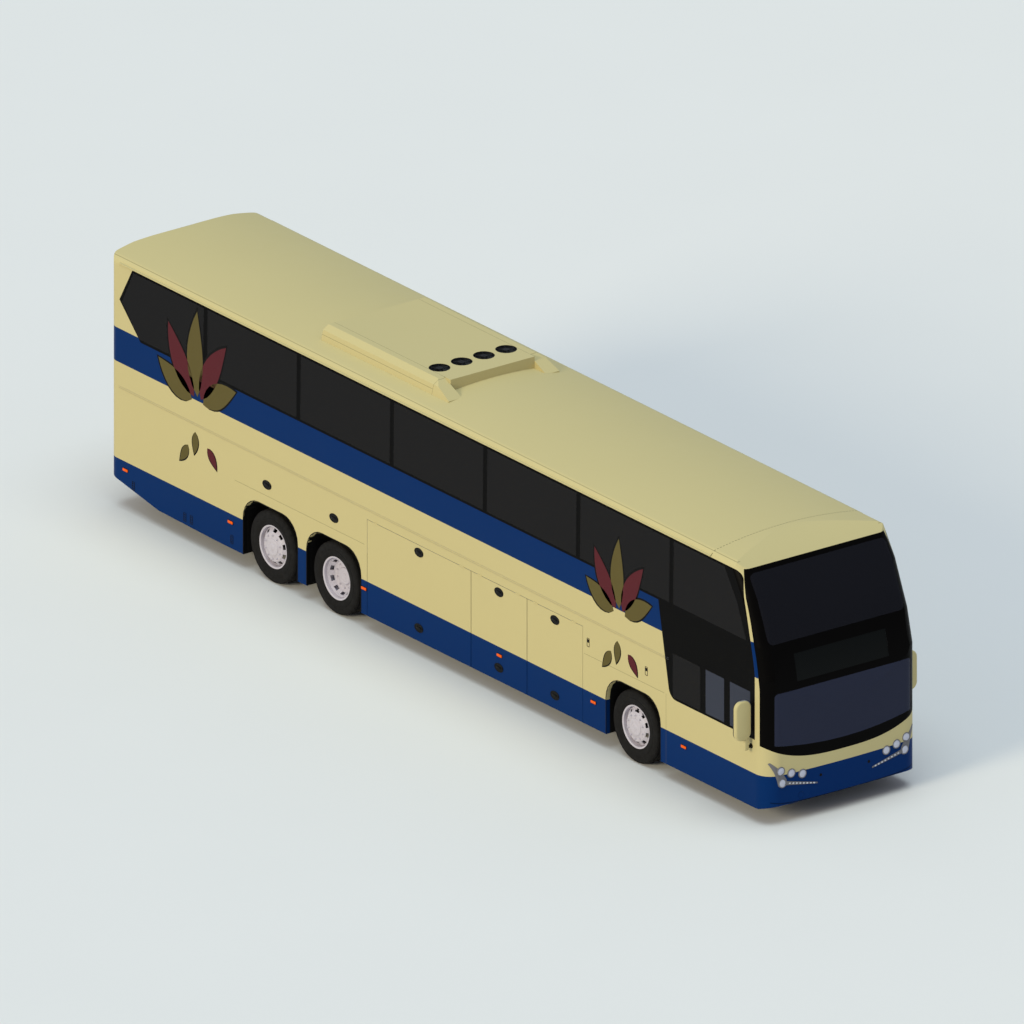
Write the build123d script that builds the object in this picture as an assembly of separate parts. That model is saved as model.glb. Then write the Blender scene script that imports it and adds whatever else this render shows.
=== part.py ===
from build123d import *

import math
import os

# A three-axle touring coach. X+ is the kerb (door) side, Y- the front, Z+ up, the ground at Z = 0.
# All sizes in millimetres. "Behind" is measured from the nose, "ahead" from the tail.

# Body envelope
LENGTH = 14740
WIDTH = 2550
ROOF_CROWN = 3690
CROWN_RISE = 120          # the roof's arc over its edges
EDGE_ROUND = 130          # round between side and roof, and over the tail
WAIST = 2400              # the sides stand upright up to here
LEAN = 14                 # and lean in by this much at the roof's edge
WALL = 60                 # sides, roof and ends are double skins
PANE = 8                  # thickness of the bonded glass
NOSE_BOW = 57             # how far the nose bulges in plan
NOSE_ROUND = 250
TAIL_BOW = 60
TAIL_ROUND = 200
RAKE_START = 1500         # the front stands upright up to here
RAKE_MID = 166            # setback half way up the rake
RAKE_TOP = 668            # setback at the head of the screens
PILLAR_TURNS = (2250, 2800, 3500)        # heights at which the rounded pillars follow the rake's slope
PILLAR_PROUD = 10         # how far they stand before it
DOME_RISE = 190           # from the head of the walls to the crown
DOME_RUN = 640
SKIRT = 225               # underside of the skirt
CHIN = 290
TAIL_FOOT = 460           # underside of the body at the tail
TAIL_LIFT = (2470, 1170)  # ahead: where the underside begins to rise, and where it has risen a little
LIFT_STEP = 25
BUMPER_TOP = 500

# Joints between the body's panels
PILLAR_START = 1700       # the joint of nose and side stands upright up to here
PILLAR_LINE = (340, 460, 960)    # this joint, behind, at its foot, half way up and at its head
DOME_JOINT = 1310         # front dome to roof, behind
TAIL_JOINT = 290          # side to tail, ahead

# Clearances
SEAT = 0.3                # between pieces that seat in each other
GAP = 6                   # round every lid and door

# Wheels and axles
TYRE_R = 511
TYRE_W = 290
TWIN_W = 275
TYRE_BORE = 290
TRACK_OUT = 1250          # outer face of the outer tyres
TWIN_IN = 630             # inner face of the inner twin tyres
FRONT_OVERHANG = 3010     # front axle, behind
TAG_OVERHANG = 3660       # tag axle, ahead
AXLE_SPREAD = 1410        # from drive axle to tag axle
ARCH_SIDE = 89            # room in the arch before and behind the tyre
ARCH_OVER = 53            # and over it
ARCH_ROUND = 330
LINER = 12
LINER_IN = 560            # inner edge of the arch liners
KINGPIN = 980
PIN_R = 22
STUB_R = 45
STUB_END = 1190
TUBE_R = 75

# Side glazing
SILL = 2566
GLASS_DROP = 30           # from the head of the walls to the glass
PILLAR = 90
FIRST_PILLAR = 2170       # behind
LAST_PILLAR = 2205        # ahead
BAYS = 5                  # panes between those two
SPLIT_GLASS = 60          # frame left between the nose joint and the glass
TAIL_PANE = (604, 350, 750)      # head, tip and foot of the pointed last pane, ahead
TIP_RISE = 424            # height of its tip over the sill
CAB_SILL = 1235
CAB_TOP = 1860
CAB_PANES = ((410, 860), (990, 1400), (1520, 2130))      # front and rear edge, behind
KERB_PANES = ((1810, 2130),)

# Entrance door: front and rear edge behind, then foot and head
DOOR = (630, 1730)
DOOR_Z = (285, 2360)
DOOR_FRAME = 130          # round its panes
DOOR_RAIL = 90            # between its panes
DOOR_PANES = (560, 2240)  # foot of the lower and head of the upper pane

# Luggage hold and its lids
LID_START = 1120          # behind the front axle
LID_END = 740             # ahead of the drive axle
LID_LENGTHS = (1242, 1245)       # the third lid takes what is left
LID_TOP = 1610
BAY_END = 660             # from either axle to the hold
BAY_FLOOR = 340

# Windscreens, display and rear glass: half width, foot, head
SCREEN_HALF = 1130
UPPER_FOOT = 2546
UPPER_DROP = 60           # from the head of the walls to the upper screen
UPPER_ROUND = 80
LOWER_SCREEN = (1150, 1895)
LOWER_ROUND = 60
LOWER_DIP = 100           # how far the lower screen's foot dips in the middle
DISPLAY = (760, 2000, 2370)
REAR_HALF = 1000
REAR_FOOT = 2480
REAR_DROP = 170
REAR_CORNER = 90
ENGINE_LID = (860, 800, 2000)
SLATS = 9                 # louvres of the engine lid
SLAT_H = 22
SLAT_OUT = 12
LOUVRES = (700, 1060, 1660)      # half width, lowest and highest slat

# Lamps: distance from the middle, height, radius of the round ones on the nose
FRONT_LAMPS = ((1043, 775, 55), (875, 717, 55), (698, 672, 55), (1015, 602, 58))
TAIL_LAMPS = (1000, 1150, 900, 1900)     # inner edge, outer edge, foot, head
LAMP_PROUD = 4
LAMP_DEPTH = 70

# Floors
DECK = 1660
PLATE = 40                # thickness of the floors and bulkheads
CAB_FLOOR = 700
CAB_FRONT = 130           # behind
BULKHEAD = 2220           # behind
STEP_IN = 620             # inner edge of the step well
STEP_TOP = 490
STAIR_HALF = 330
RISERS = 4
GOING = 230

# Seats
SEAT_PITCH = 800
FIRST_ROW = 650           # behind the bulkhead
LAST_ROW = 840            # from the last row's middle to the tail joint
AISLE = 240
SEAT_SIDE = 15            # between the seats and the wall
DRIVER = (-930, -430, 950)       # outer and inner edge of the driver's seat, from the bulkhead
# side view of a seat in (Y, Z), from its foot along the back, the cushion and down again
SEAT_PROFILE = ((90, 0), (290, 0), (290, 330), (420, 360), (560, 1080), (470, 1100), (340, 480),
                (-40, 470), (-40, 370), (90, 330))

# Dash and steering wheel
DASH_X = (-1120, 420)
DASH_BACK = 190           # behind
DASH_PROFILE = ((0, 0), (250, 0), (330, 310), (280, 420), (0, 360))
WHEEL_AT = (-680, 890, 1330)     # X, behind, Z
WHEEL_R = 215
HOOP = 14                 # half thickness of the wheel's hoop
HOOP_FLATS = 20
SPOKE = (26, 12)
BOSS_R = 50
WHEEL_TILT = -28
COLUMN_R = 26
COLUMN_L = 1040

# Chassis
RAIL_X = 450
RAIL_W = 70
RAIL_TOP = 940
RAIL_H = 200
RAIL_END = 370            # ahead
CROSSBAR = 80
OUTRIGGER_DROP = 20
ENGINE = (370, 520, 1330)        # half width, foot, head
ENGINE_Y = (2420, 720)    # front and rear, ahead
ENGINE_ARM = (250, 60)    # from the engine's ends to its arms, and their half width
CROSSBAR_IN = 60          # from a run's end to the middle of its crossbar
OUTRIGGERS = (90, 710, 150)      # front one behind the bulkhead, then behind the tag axle, ahead of the end
JACK_PAD = (1040, 60, 20) # behind the tag axle, half size, thickness

# Air-conditioning pod: front and rear from the middle of the coach
POD = (470, 3050)
POD_RISE = 132            # over the crown
POD_HALF = 700            # half width of the deck between the fairings
FAIRING_OUT = 950
FAIRING_LEAD = 255        # how far the fairings reach ahead of the deck
FAN_BACK = 440            # behind the deck's front edge
FANS = (-555, -185, 185, 555)
FAN_R = 145
FAN_BLADES = 6

# Side mouldings and gutters
MOULDINGS = (1733, 1757)
MOULDING_H = 12
MOULDING_OUT = 4
GUTTER_UP = 12            # over the head of the walls
GUTTER_H = 14

# Sockets for a screw-in towing eye
TOW_X = -720
TOW_Z = 370
TOW_REAR_Z = 600
TOW_R = 19
TOW_DEPTH = 100
TOW_BOSS = 60
TOW_MOUTH = 48
TOW_SINK = 40             # depth of the mouth below the end of the coach
TOW_BACK = 30             # wall behind the bore

# Hinges
BARREL_R = 8
BARREL_L = 45
BARREL_ROOM = 1
LID_HINGE = 150           # from the end of a lid to its hinge
DOOR_HINGES = (250, 400)  # from the door's foot and head
TAIL_BARREL_R = 11        # the engine lid's barrels stand on the bowed tail
TAIL_HINGE_IN = 6         # how far their axis lies inside the tail's furthest point
TAIL_HINGES = (-600, 510)
TAIL_GAP = 14             # above the engine lid
LEAF = (16, 7)            # inner and outer face of the leaves, inside the axis
LEAF_UP = 30
LEAF_DOWN = 40

# Mirrors
MIRROR_Y = {"offside": 385, "kerbside": 510}      # behind
MIRROR_X = (1300, 1560)
MIRROR_Z = (1205, 1775)
MIRROR_D = 90
MIRROR_ROUND = 70
MIRROR_STEM = (1330, 1400)
ARM_Z = 1090
ARM_R = 22

# Facets of what is turned or bent in flats
WHEEL_FLATS = 28
SMALL_FLATS = 12
SPRING_FLATS = 8
ARCH_FLATS = 5            # in each corner of an arch

half_w = WIDTH / 2
nose = -LENGTH / 2
tail = LENGTH / 2
wall_head = ROOF_CROWN - DOME_RISE
inner_w = half_w - WALL - SEAT
beyond = half_w + 100     # past either side
over = ROOF_CROWN + 100   # past the roof
under = -10
front_axle = nose + FRONT_OVERHANG
tag_axle = tail - TAG_OVERHANG
drive_axle = tag_axle - AXLE_SPREAD
axles = (front_axle, drive_axle, tag_axle)
arch_half = TYRE_R + ARCH_SIDE
arch_top = 2 * TYRE_R + ARCH_OVER
dome_joint = nose + DOME_JOINT
tail_joint = tail - TAIL_JOINT
bulkhead = nose + BULKHEAD
SIDES = ((-1, "offside"), (1, "kerbside"))


def box(x, y, z):
    """A box from its three pairs of limits."""
    return Pos((x[0] + x[1]) / 2, (y[0] + y[1]) / 2, (z[0] + z[1]) / 2) * Box(
        x[1] - x[0], y[1] - y[0], z[1] - z[0]
    )


def around(middle, half):
    return middle - half, middle + half


def extruded(sketch, axis, ends):
    """Extrude a sketch along X, Y or Z between two ends; Y sketches are drawn in (X, Z)."""
    length = ends[1] - ends[0]
    if axis == "X":
        return extrude(Plane.YZ.offset(ends[0]) * sketch, amount=length)
    if axis == "Y":
        return extrude(Plane.XZ.offset(-ends[1]) * sketch, amount=length)
    return extrude(Plane.XY.offset(ends[0]) * sketch, amount=length)


def rod(axis, at, radius, ends, flats=SMALL_FLATS):
    """A bar with its corners at the radius; at gives the two other coordinates."""
    return extruded(Pos(*at) * RegularPolygon(radius, flats), axis, ends)


def bore(axis, at, radius, ends, flats=SMALL_FLATS):
    """A hole for such a bar: its flats lie at the radius."""
    return extruded(Pos(*at) * RegularPolygon(radius, flats, major_radius=False), axis, ends)


def cylinder(axis, at, radius, ends):
    return extruded(Pos(*at) * Circle(radius), axis, ends)


def closed(*points):
    return make_face(Polyline(*points, close=True).edges())


def rectangle(x, z):
    return closed((x[0], z[0]), (x[1], z[0]), (x[1], z[1]), (x[0], z[1]))


def mirrored(part):
    return mirror(part, about=Plane.YZ)


def turned(outline, at, flats, flat_at_radius=True):
    """Turn a closed outline of (X, radius) round an axle at (Y, Z), in flat facets.

    A facet lies level at the foot. The radii hold at the facets' middles, or at their corners.
    """
    step = 2 * math.pi / flats
    reach = 1 / math.cos(step / 2) if flat_at_radius else 1
    start = -math.pi / 2 - step / 2

    def corner(point, turn):
        angle = start + turn * step
        radius = point[1] * reach
        return (point[0], at[0] + radius * math.cos(angle), at[1] + radius * math.sin(angle))

    faces = []
    for one, two in zip(outline, outline[1:] + outline[:1]):
        if one[1] == two[1] == 0:
            continue
        for turn in range(flats):
            loop = [corner(one, turn), corner(two, turn), corner(two, turn + 1), corner(one, turn + 1)]
            if one[1] == 0:
                loop = loop[:3]
            elif two[1] == 0:
                loop = [loop[0], loop[1], loop[3]]
            faces.append(Face(Wire.make_polygon([Vector(*p) for p in loop])))
    solid = Solid(Shell(faces))
    return solid if solid.volume > 0 else Solid(solid.wrapped.Reversed())


def plan(inset):
    """The body's outline from above, drawn in by an inset."""
    w, front, rear = half_w - inset, nose + inset, tail - inset
    outline = make_face([
        ThreePointArc((-w, front + NOSE_BOW), (0, front), (w, front + NOSE_BOW)),
        Line((w, front + NOSE_BOW), (w, rear - TAIL_BOW)),
        ThreePointArc((w, rear - TAIL_BOW), (0, rear), (-w, rear - TAIL_BOW)),
        Line((-w, rear - TAIL_BOW), (-w, front + NOSE_BOW)),
    ])
    outline = fillet(outline.vertices().sort_by(Axis.Y)[:2], NOSE_ROUND - inset)
    return fillet(outline.vertices().sort_by(Axis.Y)[-2:], TAIL_ROUND - inset)


def envelope(inset, foot=None):
    """The body's outer form, drawn in by an inset; foot opens it downwards."""
    w, front, rear = half_w - inset, nose + inset, tail - inset
    top, edge = ROOF_CROWN - inset, ROOF_CROWN - CROWN_RISE - inset
    low = SKIRT - 1 if foot is None else foot
    section = make_face([
        Polyline((-w + LEAN, edge), (-w, WAIST), (-w, low), (w, low), (w, WAIST), (w - LEAN, edge)),
        ThreePointArc((w - LEAN, edge), (0, top), (-w + LEAN, edge)),
    ])
    section = fillet(section.vertices().group_by(Axis.Y)[-1], EDGE_ROUND - inset)
    head = (front + RAKE_TOP, wall_head)
    if foot is None:
        lift_start, lift_mid = (tail - ahead for ahead in TAIL_LIFT)
        belly = [
            (rear, TAIL_FOOT), (lift_mid, SKIRT + LIFT_STEP), (lift_start, SKIRT),
            (front + NOSE_ROUND, SKIRT), (front, CHIN),
        ]
    else:
        belly = [(rear, foot), (front, foot)]
    side = make_face([
        Line(belly[-1], (front, RAKE_START)),
        ThreePointArc((front, RAKE_START), (front + RAKE_MID, (RAKE_START + wall_head) / 2), head),
        TangentArc((head[0] + DOME_RUN, top), head, tangent=(-1, 0)),
        Line((head[0] + DOME_RUN, top), (rear, top)),
        Polyline((rear, top), *belly),
    ])
    rear_top = side.vertices().sort_by(lambda v: v.X + v.Y)[-1]
    side = fillet(rear_top, EDGE_ROUND - inset)
    pillars = rectangle((-w, w), (0, 2 * LENGTH))
    pillars = fillet(pillars.vertices().group_by(Axis.Y)[0], NOSE_ROUND - inset)
    body = extrude(Plane.YZ * side, amount=WIDTH, both=True)
    body &= extruded(plan(inset), "Z", (low, over))
    body &= extrude(Plane.XZ * section, amount=LENGTH, both=True)
    for height in PILLAR_TURNS:
        share = (height - RAKE_START) / (wall_head - RAKE_START)
        lean = Vector(0, 2 * RAKE_TOP * share / (wall_head - RAKE_START), 1)
        start = (0, front + RAKE_TOP * share ** 2 - PILLAR_PROUD, height)
        body &= extrude(Pos(*start) * pillars, amount=ROOF_CROWN * lean.length, dir=lean, both=True)
    return body


def arch(axle, grow=0):
    """The outline of a wheel arch in (Y, Z), open at the foot, its corners bent in flats."""
    reach, top, radius = arch_half + grow, arch_top + grow, ARCH_ROUND + grow
    turns = [math.pi / 2 * n / ARCH_FLATS for n in range(ARCH_FLATS + 1)]
    half = [(reach - radius + radius * math.cos(t), top - radius + radius * math.sin(t)) for t in turns]
    half.insert(0, (reach, -top))
    return closed(*[(axle + y, z) for y, z in half], *[(axle - y, z) for y, z in reversed(half)])


def nose_zone():
    """Everything ahead of the joint between nose and sides."""
    foot, middle, head = (nose + behind for behind in PILLAR_LINE)
    outline = make_face([
        Polyline((foot, PILLAR_START), (foot, under), (nose - 50, under), (nose - 50, wall_head),
                 (head, wall_head)),
        ThreePointArc((foot, PILLAR_START), (middle, (PILLAR_START + wall_head) / 2),
                      (head, wall_head)),
    ])
    return extruded(outline, "X", (-beyond, beyond))


first_pillar = nose + FIRST_PILLAR
last_pillar = tail - LAST_PILLAR
pillars = [first_pillar + n * (last_pillar - first_pillar) / BAYS for n in range(BAYS + 1)]
QUARTER_LIGHT = (20, 190, 420)   # how the first pane's front edge bends back with the nose joint


def side_panes(shrink=0):
    """Outlines of the main row of side panes in (Y, Z), front to rear."""
    low, high, rim = SILL + shrink, wall_head - GLASS_DROP - shrink, PILLAR / 2 + shrink
    middle, head = (nose + behind + SPLIT_GLASS + shrink for behind in PILLAR_LINE[1:])
    bulge, bend, drop = QUARTER_LIGHT
    panes = [closed((middle - bulge, low), (pillars[0] - rim, low), (pillars[0] - rim, high),
                    (head - bulge, high), (middle + bend, high - drop))]
    for ahead, behind in zip(pillars, pillars[1:]):
        panes.append(rectangle((ahead + rim, behind - rim), (low, high)))
    top, tip, bottom = (tail - ahead - shrink for ahead in TAIL_PANE)
    panes.append(closed((pillars[-1] + rim, low), (bottom, low), (tip, SILL + TIP_RISE),
                        (top, high), (pillars[-1] + rim, high)))
    return panes


def low_panes(rows, shrink=0):
    """Outlines of the cab's side panes."""
    return [rectangle((nose + front + shrink, nose + rear - shrink),
                      (CAB_SILL + shrink, CAB_TOP - shrink)) for front, rear in rows]


def rounded(half, low, high, radius):
    shape = rectangle((-half, half), (low, high))
    return fillet(shape.vertices(), radius)


def upper_screen(shrink=0):
    return rounded(SCREEN_HALF - shrink, UPPER_FOOT + shrink, wall_head - UPPER_DROP - shrink,
                   UPPER_ROUND - shrink)


def lower_screen(shrink=0):
    w, foot, head = SCREEN_HALF - shrink, LOWER_SCREEN[0] + shrink, LOWER_SCREEN[1] - shrink
    shape = make_face([
        ThreePointArc((-w, foot), (0, foot - LOWER_DIP), (w, foot)),
        Polyline((w, foot), (w, head), (-w, head), (-w, foot)),
    ])
    return fillet(shape.vertices().group_by(Axis.Y)[-1], LOWER_ROUND - shrink)


def display_window(shrink=0):
    w, low, high = DISPLAY
    return rectangle((shrink - w, w - shrink), (low + shrink, high - shrink))


def rear_window(shrink=0):
    return rounded(REAR_HALF - shrink, REAR_FOOT + shrink, wall_head - REAR_DROP - shrink,
                   REAR_CORNER - shrink)


through_nose = (nose - 100, nose + RAKE_TOP + NOSE_ROUND + 200)
through_tail = (tail_joint, tail + 100)


def barrel_pair(axis, at, start, radius=BARREL_R):
    """The fixed and the moving barrel of one hinge, end to end along the axis."""
    fixed = rod(axis, at, radius, (start, start + BARREL_L), 8)
    moving = rod(axis, at, radius, (start + BARREL_L + SEAT, start + 2 * BARREL_L + SEAT), 8)
    return fixed, moving


def barrel_room(axis, at, start, moving, radius=BARREL_R):
    """The room that a barrel needs in the other piece."""
    begin = start + BARREL_L if moving else start - SEAT
    return bore(axis, at, radius + BARREL_ROOM, (begin, begin + BARREL_L + 2 * SEAT), 8)


class Part:
    """Collects the named pieces and writes each one to its own file."""

    def __init__(self):
        self.pieces = {}

    def add(self, name, shape):
        solids = shape if isinstance(shape, list) else [shape]
        solids = [solid for one in solids for solid in one.solids()]
        self.pieces[name] = solids[0] if len(solids) == 1 else Compound(solids)

    def write(self):
        os.makedirs("parts", exist_ok=True)
        for name, shape in self.pieces.items():
            export_step(shape, f"parts/{name}.step")


coach = Part()

# ---- Body shell, split where the real panels meet ----
outer = envelope(0)
hollow = envelope(WALL, foot=-SKIRT)
skin_room = envelope(PANE, foot=-SKIRT)
shell = outer - hollow
skin = outer - skin_room
nose_part = nose_zone()
everywhere = (-beyond, beyond)
above = box(everywhere, (nose - 50, tail + 50), (wall_head, over))
tail_part = box(everywhere, (tail_joint, tail + 50), (under, wall_head))
walls = shell - above
roof_shell = shell & above
dome_zone = box(everywhere, (nose - 50, dome_joint), (wall_head, over))
coach.add("roof_dome", roof_shell & dome_zone)

front_shell = walls & nose_part
for window in (upper_screen(), lower_screen(), display_window()):
    front_shell -= extruded(window, "Y", through_nose)
lamps = []
lamp_reach = (nose - 50, nose + NOSE_ROUND + NOSE_BOW)
for mid, height, radius in FRONT_LAMPS:
    face = nose + NOSE_BOW * (mid / half_w) ** 2 - LAMP_PROUD
    for x in (-mid, mid):
        front_shell -= rod("Y", (x, height), radius + SEAT, lamp_reach)
        lamps.append(rod("Y", (x, height), radius, (face, face + LAMP_DEPTH)))
low_front = box(everywhere, (nose - 50, 0), (under, BUMPER_TOP))


def add_tow_socket(panel, z, end, way):
    """A boss behind the panel with a wide mouth and the bore of the towing eye; way points in."""
    face = end + way * TOW_SINK
    bottom = face + way * TOW_DEPTH
    panel += rod("Y", (TOW_X, z), TOW_BOSS, sorted((face - way * 10, bottom + way * TOW_BACK)))
    panel -= bore("Y", (TOW_X, z), TOW_MOUTH, sorted((end - way * 50, face)))
    panel -= cylinder("Y", (TOW_X, z), TOW_R, sorted((end - way * 50, bottom)))
    return panel


coach.add("front_bumper", add_tow_socket(front_shell & low_front, TOW_Z, nose, 1))
coach.add("front_panel", front_shell - low_front)
coach.add("headlamps", lamps)

front_skin = skin & nose_part
for name, window in (("windscreen_upper", upper_screen(SEAT)),
                     ("windscreen_lower", lower_screen(SEAT)),
                     ("destination_display", display_window(SEAT))):
    coach.add(name, front_skin & extruded(window, "Y", through_nose))

# ---- Tail: rear panel, glass, engine lid with its louvres, lamps ----
lid_w, lid_foot, lid_head = ENGINE_LID
lamp_in, lamp_out, lamp_foot, lamp_head = TAIL_LAMPS
rear_shell = walls & tail_part
rear_shell -= extruded(rear_window(), "Y", through_tail)
lid_zone = box((GAP - lid_w, lid_w - GAP), through_tail, (lid_foot + GAP, lid_head - TAIL_GAP))
engine_lid = rear_shell & lid_zone
rear_shell -= box((-lid_w, lid_w), through_tail, (lid_foot, lid_head))
slat_half, slat_low, slat_high = LOUVRES
slat_skin = envelope(-LAMP_PROUD) - envelope(SLAT_OUT)
for number in range(SLATS):
    z = slat_low + number * (slat_high - slat_low) / (SLATS - 1)
    engine_lid -= box((-slat_half, slat_half), (tail - TAIL_BOW - SLAT_OUT, tail + 50),
                      (z, z + 2 * SLAT_H)) & slat_skin
    engine_lid += box((-slat_half, slat_half), (tail - TAIL_BOW - SLAT_OUT, tail + 50),
                      (z, z + SLAT_H)) & slat_skin & outer
hinge_at = (tail - TAIL_HINGE_IN, lid_head)
leaf_y = (hinge_at[0] - LEAF[0], hinge_at[0] - LEAF[1])
for start in TAIL_HINGES:
    fixed, moving = barrel_pair("X", hinge_at, start, TAIL_BARREL_R)
    middle = start + BARREL_L
    fixed += box((start, middle), leaf_y, (lid_head, lid_head + LEAF_UP))
    moving += box((middle + SEAT, middle + SEAT + BARREL_L), leaf_y, (lid_head - LEAF_DOWN, lid_head))
    rear_shell = rear_shell - barrel_room("X", hinge_at, start, True, TAIL_BARREL_R) + fixed
    engine_lid = engine_lid - barrel_room("X", hinge_at, start, False, TAIL_BARREL_R) + moving
tail_lamps = []
proud = envelope(-LAMP_PROUD) - hollow
for x in ((-lamp_out, -lamp_in), (lamp_in, lamp_out)):
    rear_shell -= box((x[0] - SEAT, x[1] + SEAT), through_tail, (lamp_foot - SEAT, lamp_head + SEAT))
    tail_lamps.append((proud & tail_part) & box(x, through_tail, (lamp_foot, lamp_head)))
coach.add("rear_panel", add_tow_socket(rear_shell, TOW_REAR_Z, tail, -1))
coach.add("engine_lid", engine_lid)
coach.add("tail_lamps", tail_lamps)
coach.add("rear_glass", (skin & tail_part) & extruded(rear_window(SEAT), "Y", through_tail))

# ---- Sides: glazing, arches, mouldings, luggage lids, door ----
middle_walls = walls - nose_part - tail_part
for z in MOULDINGS:
    middle_walls += box((-half_w - MOULDING_OUT, half_w + MOULDING_OUT), (bulkhead, tail_joint),
                        (z - MOULDING_H / 2, z + MOULDING_H / 2)) - box(
                            (PANE - half_w, half_w - PANE), (bulkhead - 1, tail_joint + 1),
                            (z - MOULDING_H, z + MOULDING_H))
for axle in axles:
    middle_walls -= extruded(arch(axle), "X", everywhere)
for outline in side_panes():
    middle_walls -= extruded(outline, "X", everywhere)
reach = {-1: (-beyond, 0), 1: (0, beyond)}
wall = {sign: middle_walls & box(reach[sign], (nose, tail), (under, wall_head)) for sign, name in SIDES}
cab_rows = {-1: CAB_PANES, 1: KERB_PANES}
lid_starts = [front_axle + LID_START]
for length in LID_LENGTHS:
    lid_starts.append(lid_starts[-1] + length)
lid_ends = lid_starts[1:] + [drive_axle - LID_END]
for sign, name in SIDES:
    panes = [skin & extruded(outline, "X", reach[sign])
             for outline in side_panes(SEAT) + low_panes(cab_rows[sign], SEAT)]
    coach.add(f"glass_{name}", panes)
    for outline in low_panes(cab_rows[sign]):
        wall[sign] -= extruded(outline, "X", reach[sign])
    for number, (front, rear) in enumerate(zip(lid_starts, lid_ends), 1):
        lid = wall[sign] & box(reach[sign], (front + GAP, rear - GAP), (under, LID_TOP - GAP))
        wall[sign] -= box(reach[sign], (front, rear), (under, LID_TOP))
        for start in (front + LID_HINGE, rear - LID_HINGE - 2 * BARREL_L):
            at = (sign * half_w, LID_TOP)
            fixed, moving = barrel_pair("Y", at, start)
            wall[sign] = wall[sign] - barrel_room("Y", at, start, True) + fixed
            lid = lid - barrel_room("Y", at, start, False) + moving
        coach.add(f"luggage_lid_{name}_{number}", lid)

door_y = (nose + DOOR[0], nose + DOOR[1])
door = wall[1] & box(reach[1], (door_y[0] + GAP, door_y[1] - GAP), (DOOR_Z[0] + GAP, DOOR_Z[1] - GAP))
wall[1] -= box(reach[1], door_y, DOOR_Z)
door_panes = []
pane_y = (door_y[0] + DOOR_FRAME, door_y[1] - DOOR_FRAME)
for low, high in ((DOOR_PANES[0], CAB_SILL - DOOR_RAIL), (CAB_SILL, DOOR_PANES[1])):
    door -= box(reach[1], pane_y, (low, high))
    door_panes.append(skin & box(reach[1], (pane_y[0] + SEAT, pane_y[1] - SEAT),
                                 (low + SEAT, high - SEAT)))
door_at = (half_w, door_y[0])
for start in (DOOR_Z[0] + DOOR_HINGES[0], DOOR_Z[1] - DOOR_HINGES[1]):
    fixed, moving = barrel_pair("Z", door_at, start)
    wall[1] = wall[1] - barrel_room("Z", door_at, start, True) + fixed
    door = door - barrel_room("Z", door_at, start, False) + moving
coach.add("side_offside", wall[-1])
coach.add("side_kerbside", wall[1])
coach.add("door", door)
coach.add("door_glass", door_panes)

# ---- Roof with its gutters and the air-conditioning pod ----
roof = roof_shell - dome_zone
gutter_z = (wall_head + GUTTER_UP, wall_head + GUTTER_UP + GUTTER_H)
for sign, name in SIDES:
    roof += box(sorted((sign * (half_w - WALL / 2), sign * half_w)), (dome_joint, tail_joint), gutter_z)
pod_top = ROOF_CROWN + POD_RISE
pod_foot = ROOF_CROWN - CROWN_RISE - PLATE
pod = box((-POD_HALF, POD_HALF), POD, (pod_foot, pod_top))
fairing_tip = POD[0] - FAIRING_LEAD
fairing = extruded(closed((-FAIRING_OUT, pod_foot), (-FAIRING_OUT + 60, pod_top - 60),
                          (-FAIRING_OUT + 150, pod_top), (-POD_HALF, pod_top),
                          (-POD_HALF, pod_foot)), "Y", (fairing_tip, POD[1]))
fairing -= extruded(closed((fairing_tip - 10, ROOF_CROWN - 50), (POD[0] + 150, pod_top + 1),
                           (fairing_tip - 10, pod_top + 1)), "X", (-FAIRING_OUT - 1, 0))
pod = pod + fairing + mirrored(fairing) - envelope(-SEAT, foot=-SKIRT)
fan_bed = pod_top - 34
fan_y = POD[0] + FAN_BACK
fans = []
for x in FANS:
    pod -= bore("Z", (x, fan_y), FAN_R + SEAT, (fan_bed, over + POD_RISE), 16)
    fan = rod("Z", (x, fan_y), FAN_R / 3, (fan_bed + SEAT, pod_top - 2))
    for number in range(FAN_BLADES):
        blade = Pos(FAN_R / 2, 0, 0) * Rot(35, 0, 0) * Box(FAN_R - 10, 26, 3)
        fan += Pos(x, fan_y, pod_top - 16) * Rot(0, 0, number * 360 / FAN_BLADES) * blade
    fans.append(fan)
coach.add("roof", roof)
coach.add("roof_pod", pod)
coach.add("roof_fans", fans)

# ---- Floors, hold, steps, cab ----
coach.add("deck", box((-inner_w, inner_w), (bulkhead + SEAT, tail_joint - SEAT), (DECK - PLATE, DECK)))
hold = (front_axle + BAY_END, drive_axle - BAY_END)
hold_half = inner_w - GAP
bay = box((-hold_half, hold_half), hold, (BAY_FLOOR - PLATE, BAY_FLOOR))
for y in (hold[0] - PLATE, hold[1]):
    bay += box((-inner_w, inner_w), (y, y + PLATE), (BAY_FLOOR - PLATE, DECK - PLATE - SEAT))
coach.add("luggage_bay", bay)
cab_plate = (CAB_FLOOR - PLATE, CAB_FLOOR)
cab = box((-inner_w, inner_w), (nose + CAB_FRONT, bulkhead), cab_plate)
cab += box((-inner_w, inner_w), (bulkhead - PLATE, bulkhead), (CAB_FLOOR - PLATE, DECK))
cab -= box((-STAIR_HALF, STAIR_HALF), (bulkhead - PLATE - 1, bulkhead + 1), (CAB_FLOOR, DECK + 1))
cab -= box((STEP_IN, beyond), door_y, (0, CAB_FLOOR + 1))
cab &= extruded(plan(WALL + SEAT), "Z", (0, over))
coach.add("cab_floor", cab)
step = box((STEP_IN + SEAT, inner_w - GAP), (door_y[0] + SEAT, door_y[1] - SEAT),
           (STEP_TOP - PLATE, STEP_TOP))
step += box((STEP_IN - PLATE, STEP_IN + SEAT), door_y, (STEP_TOP - PLATE, CAB_FLOOR - PLATE - SEAT))
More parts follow.
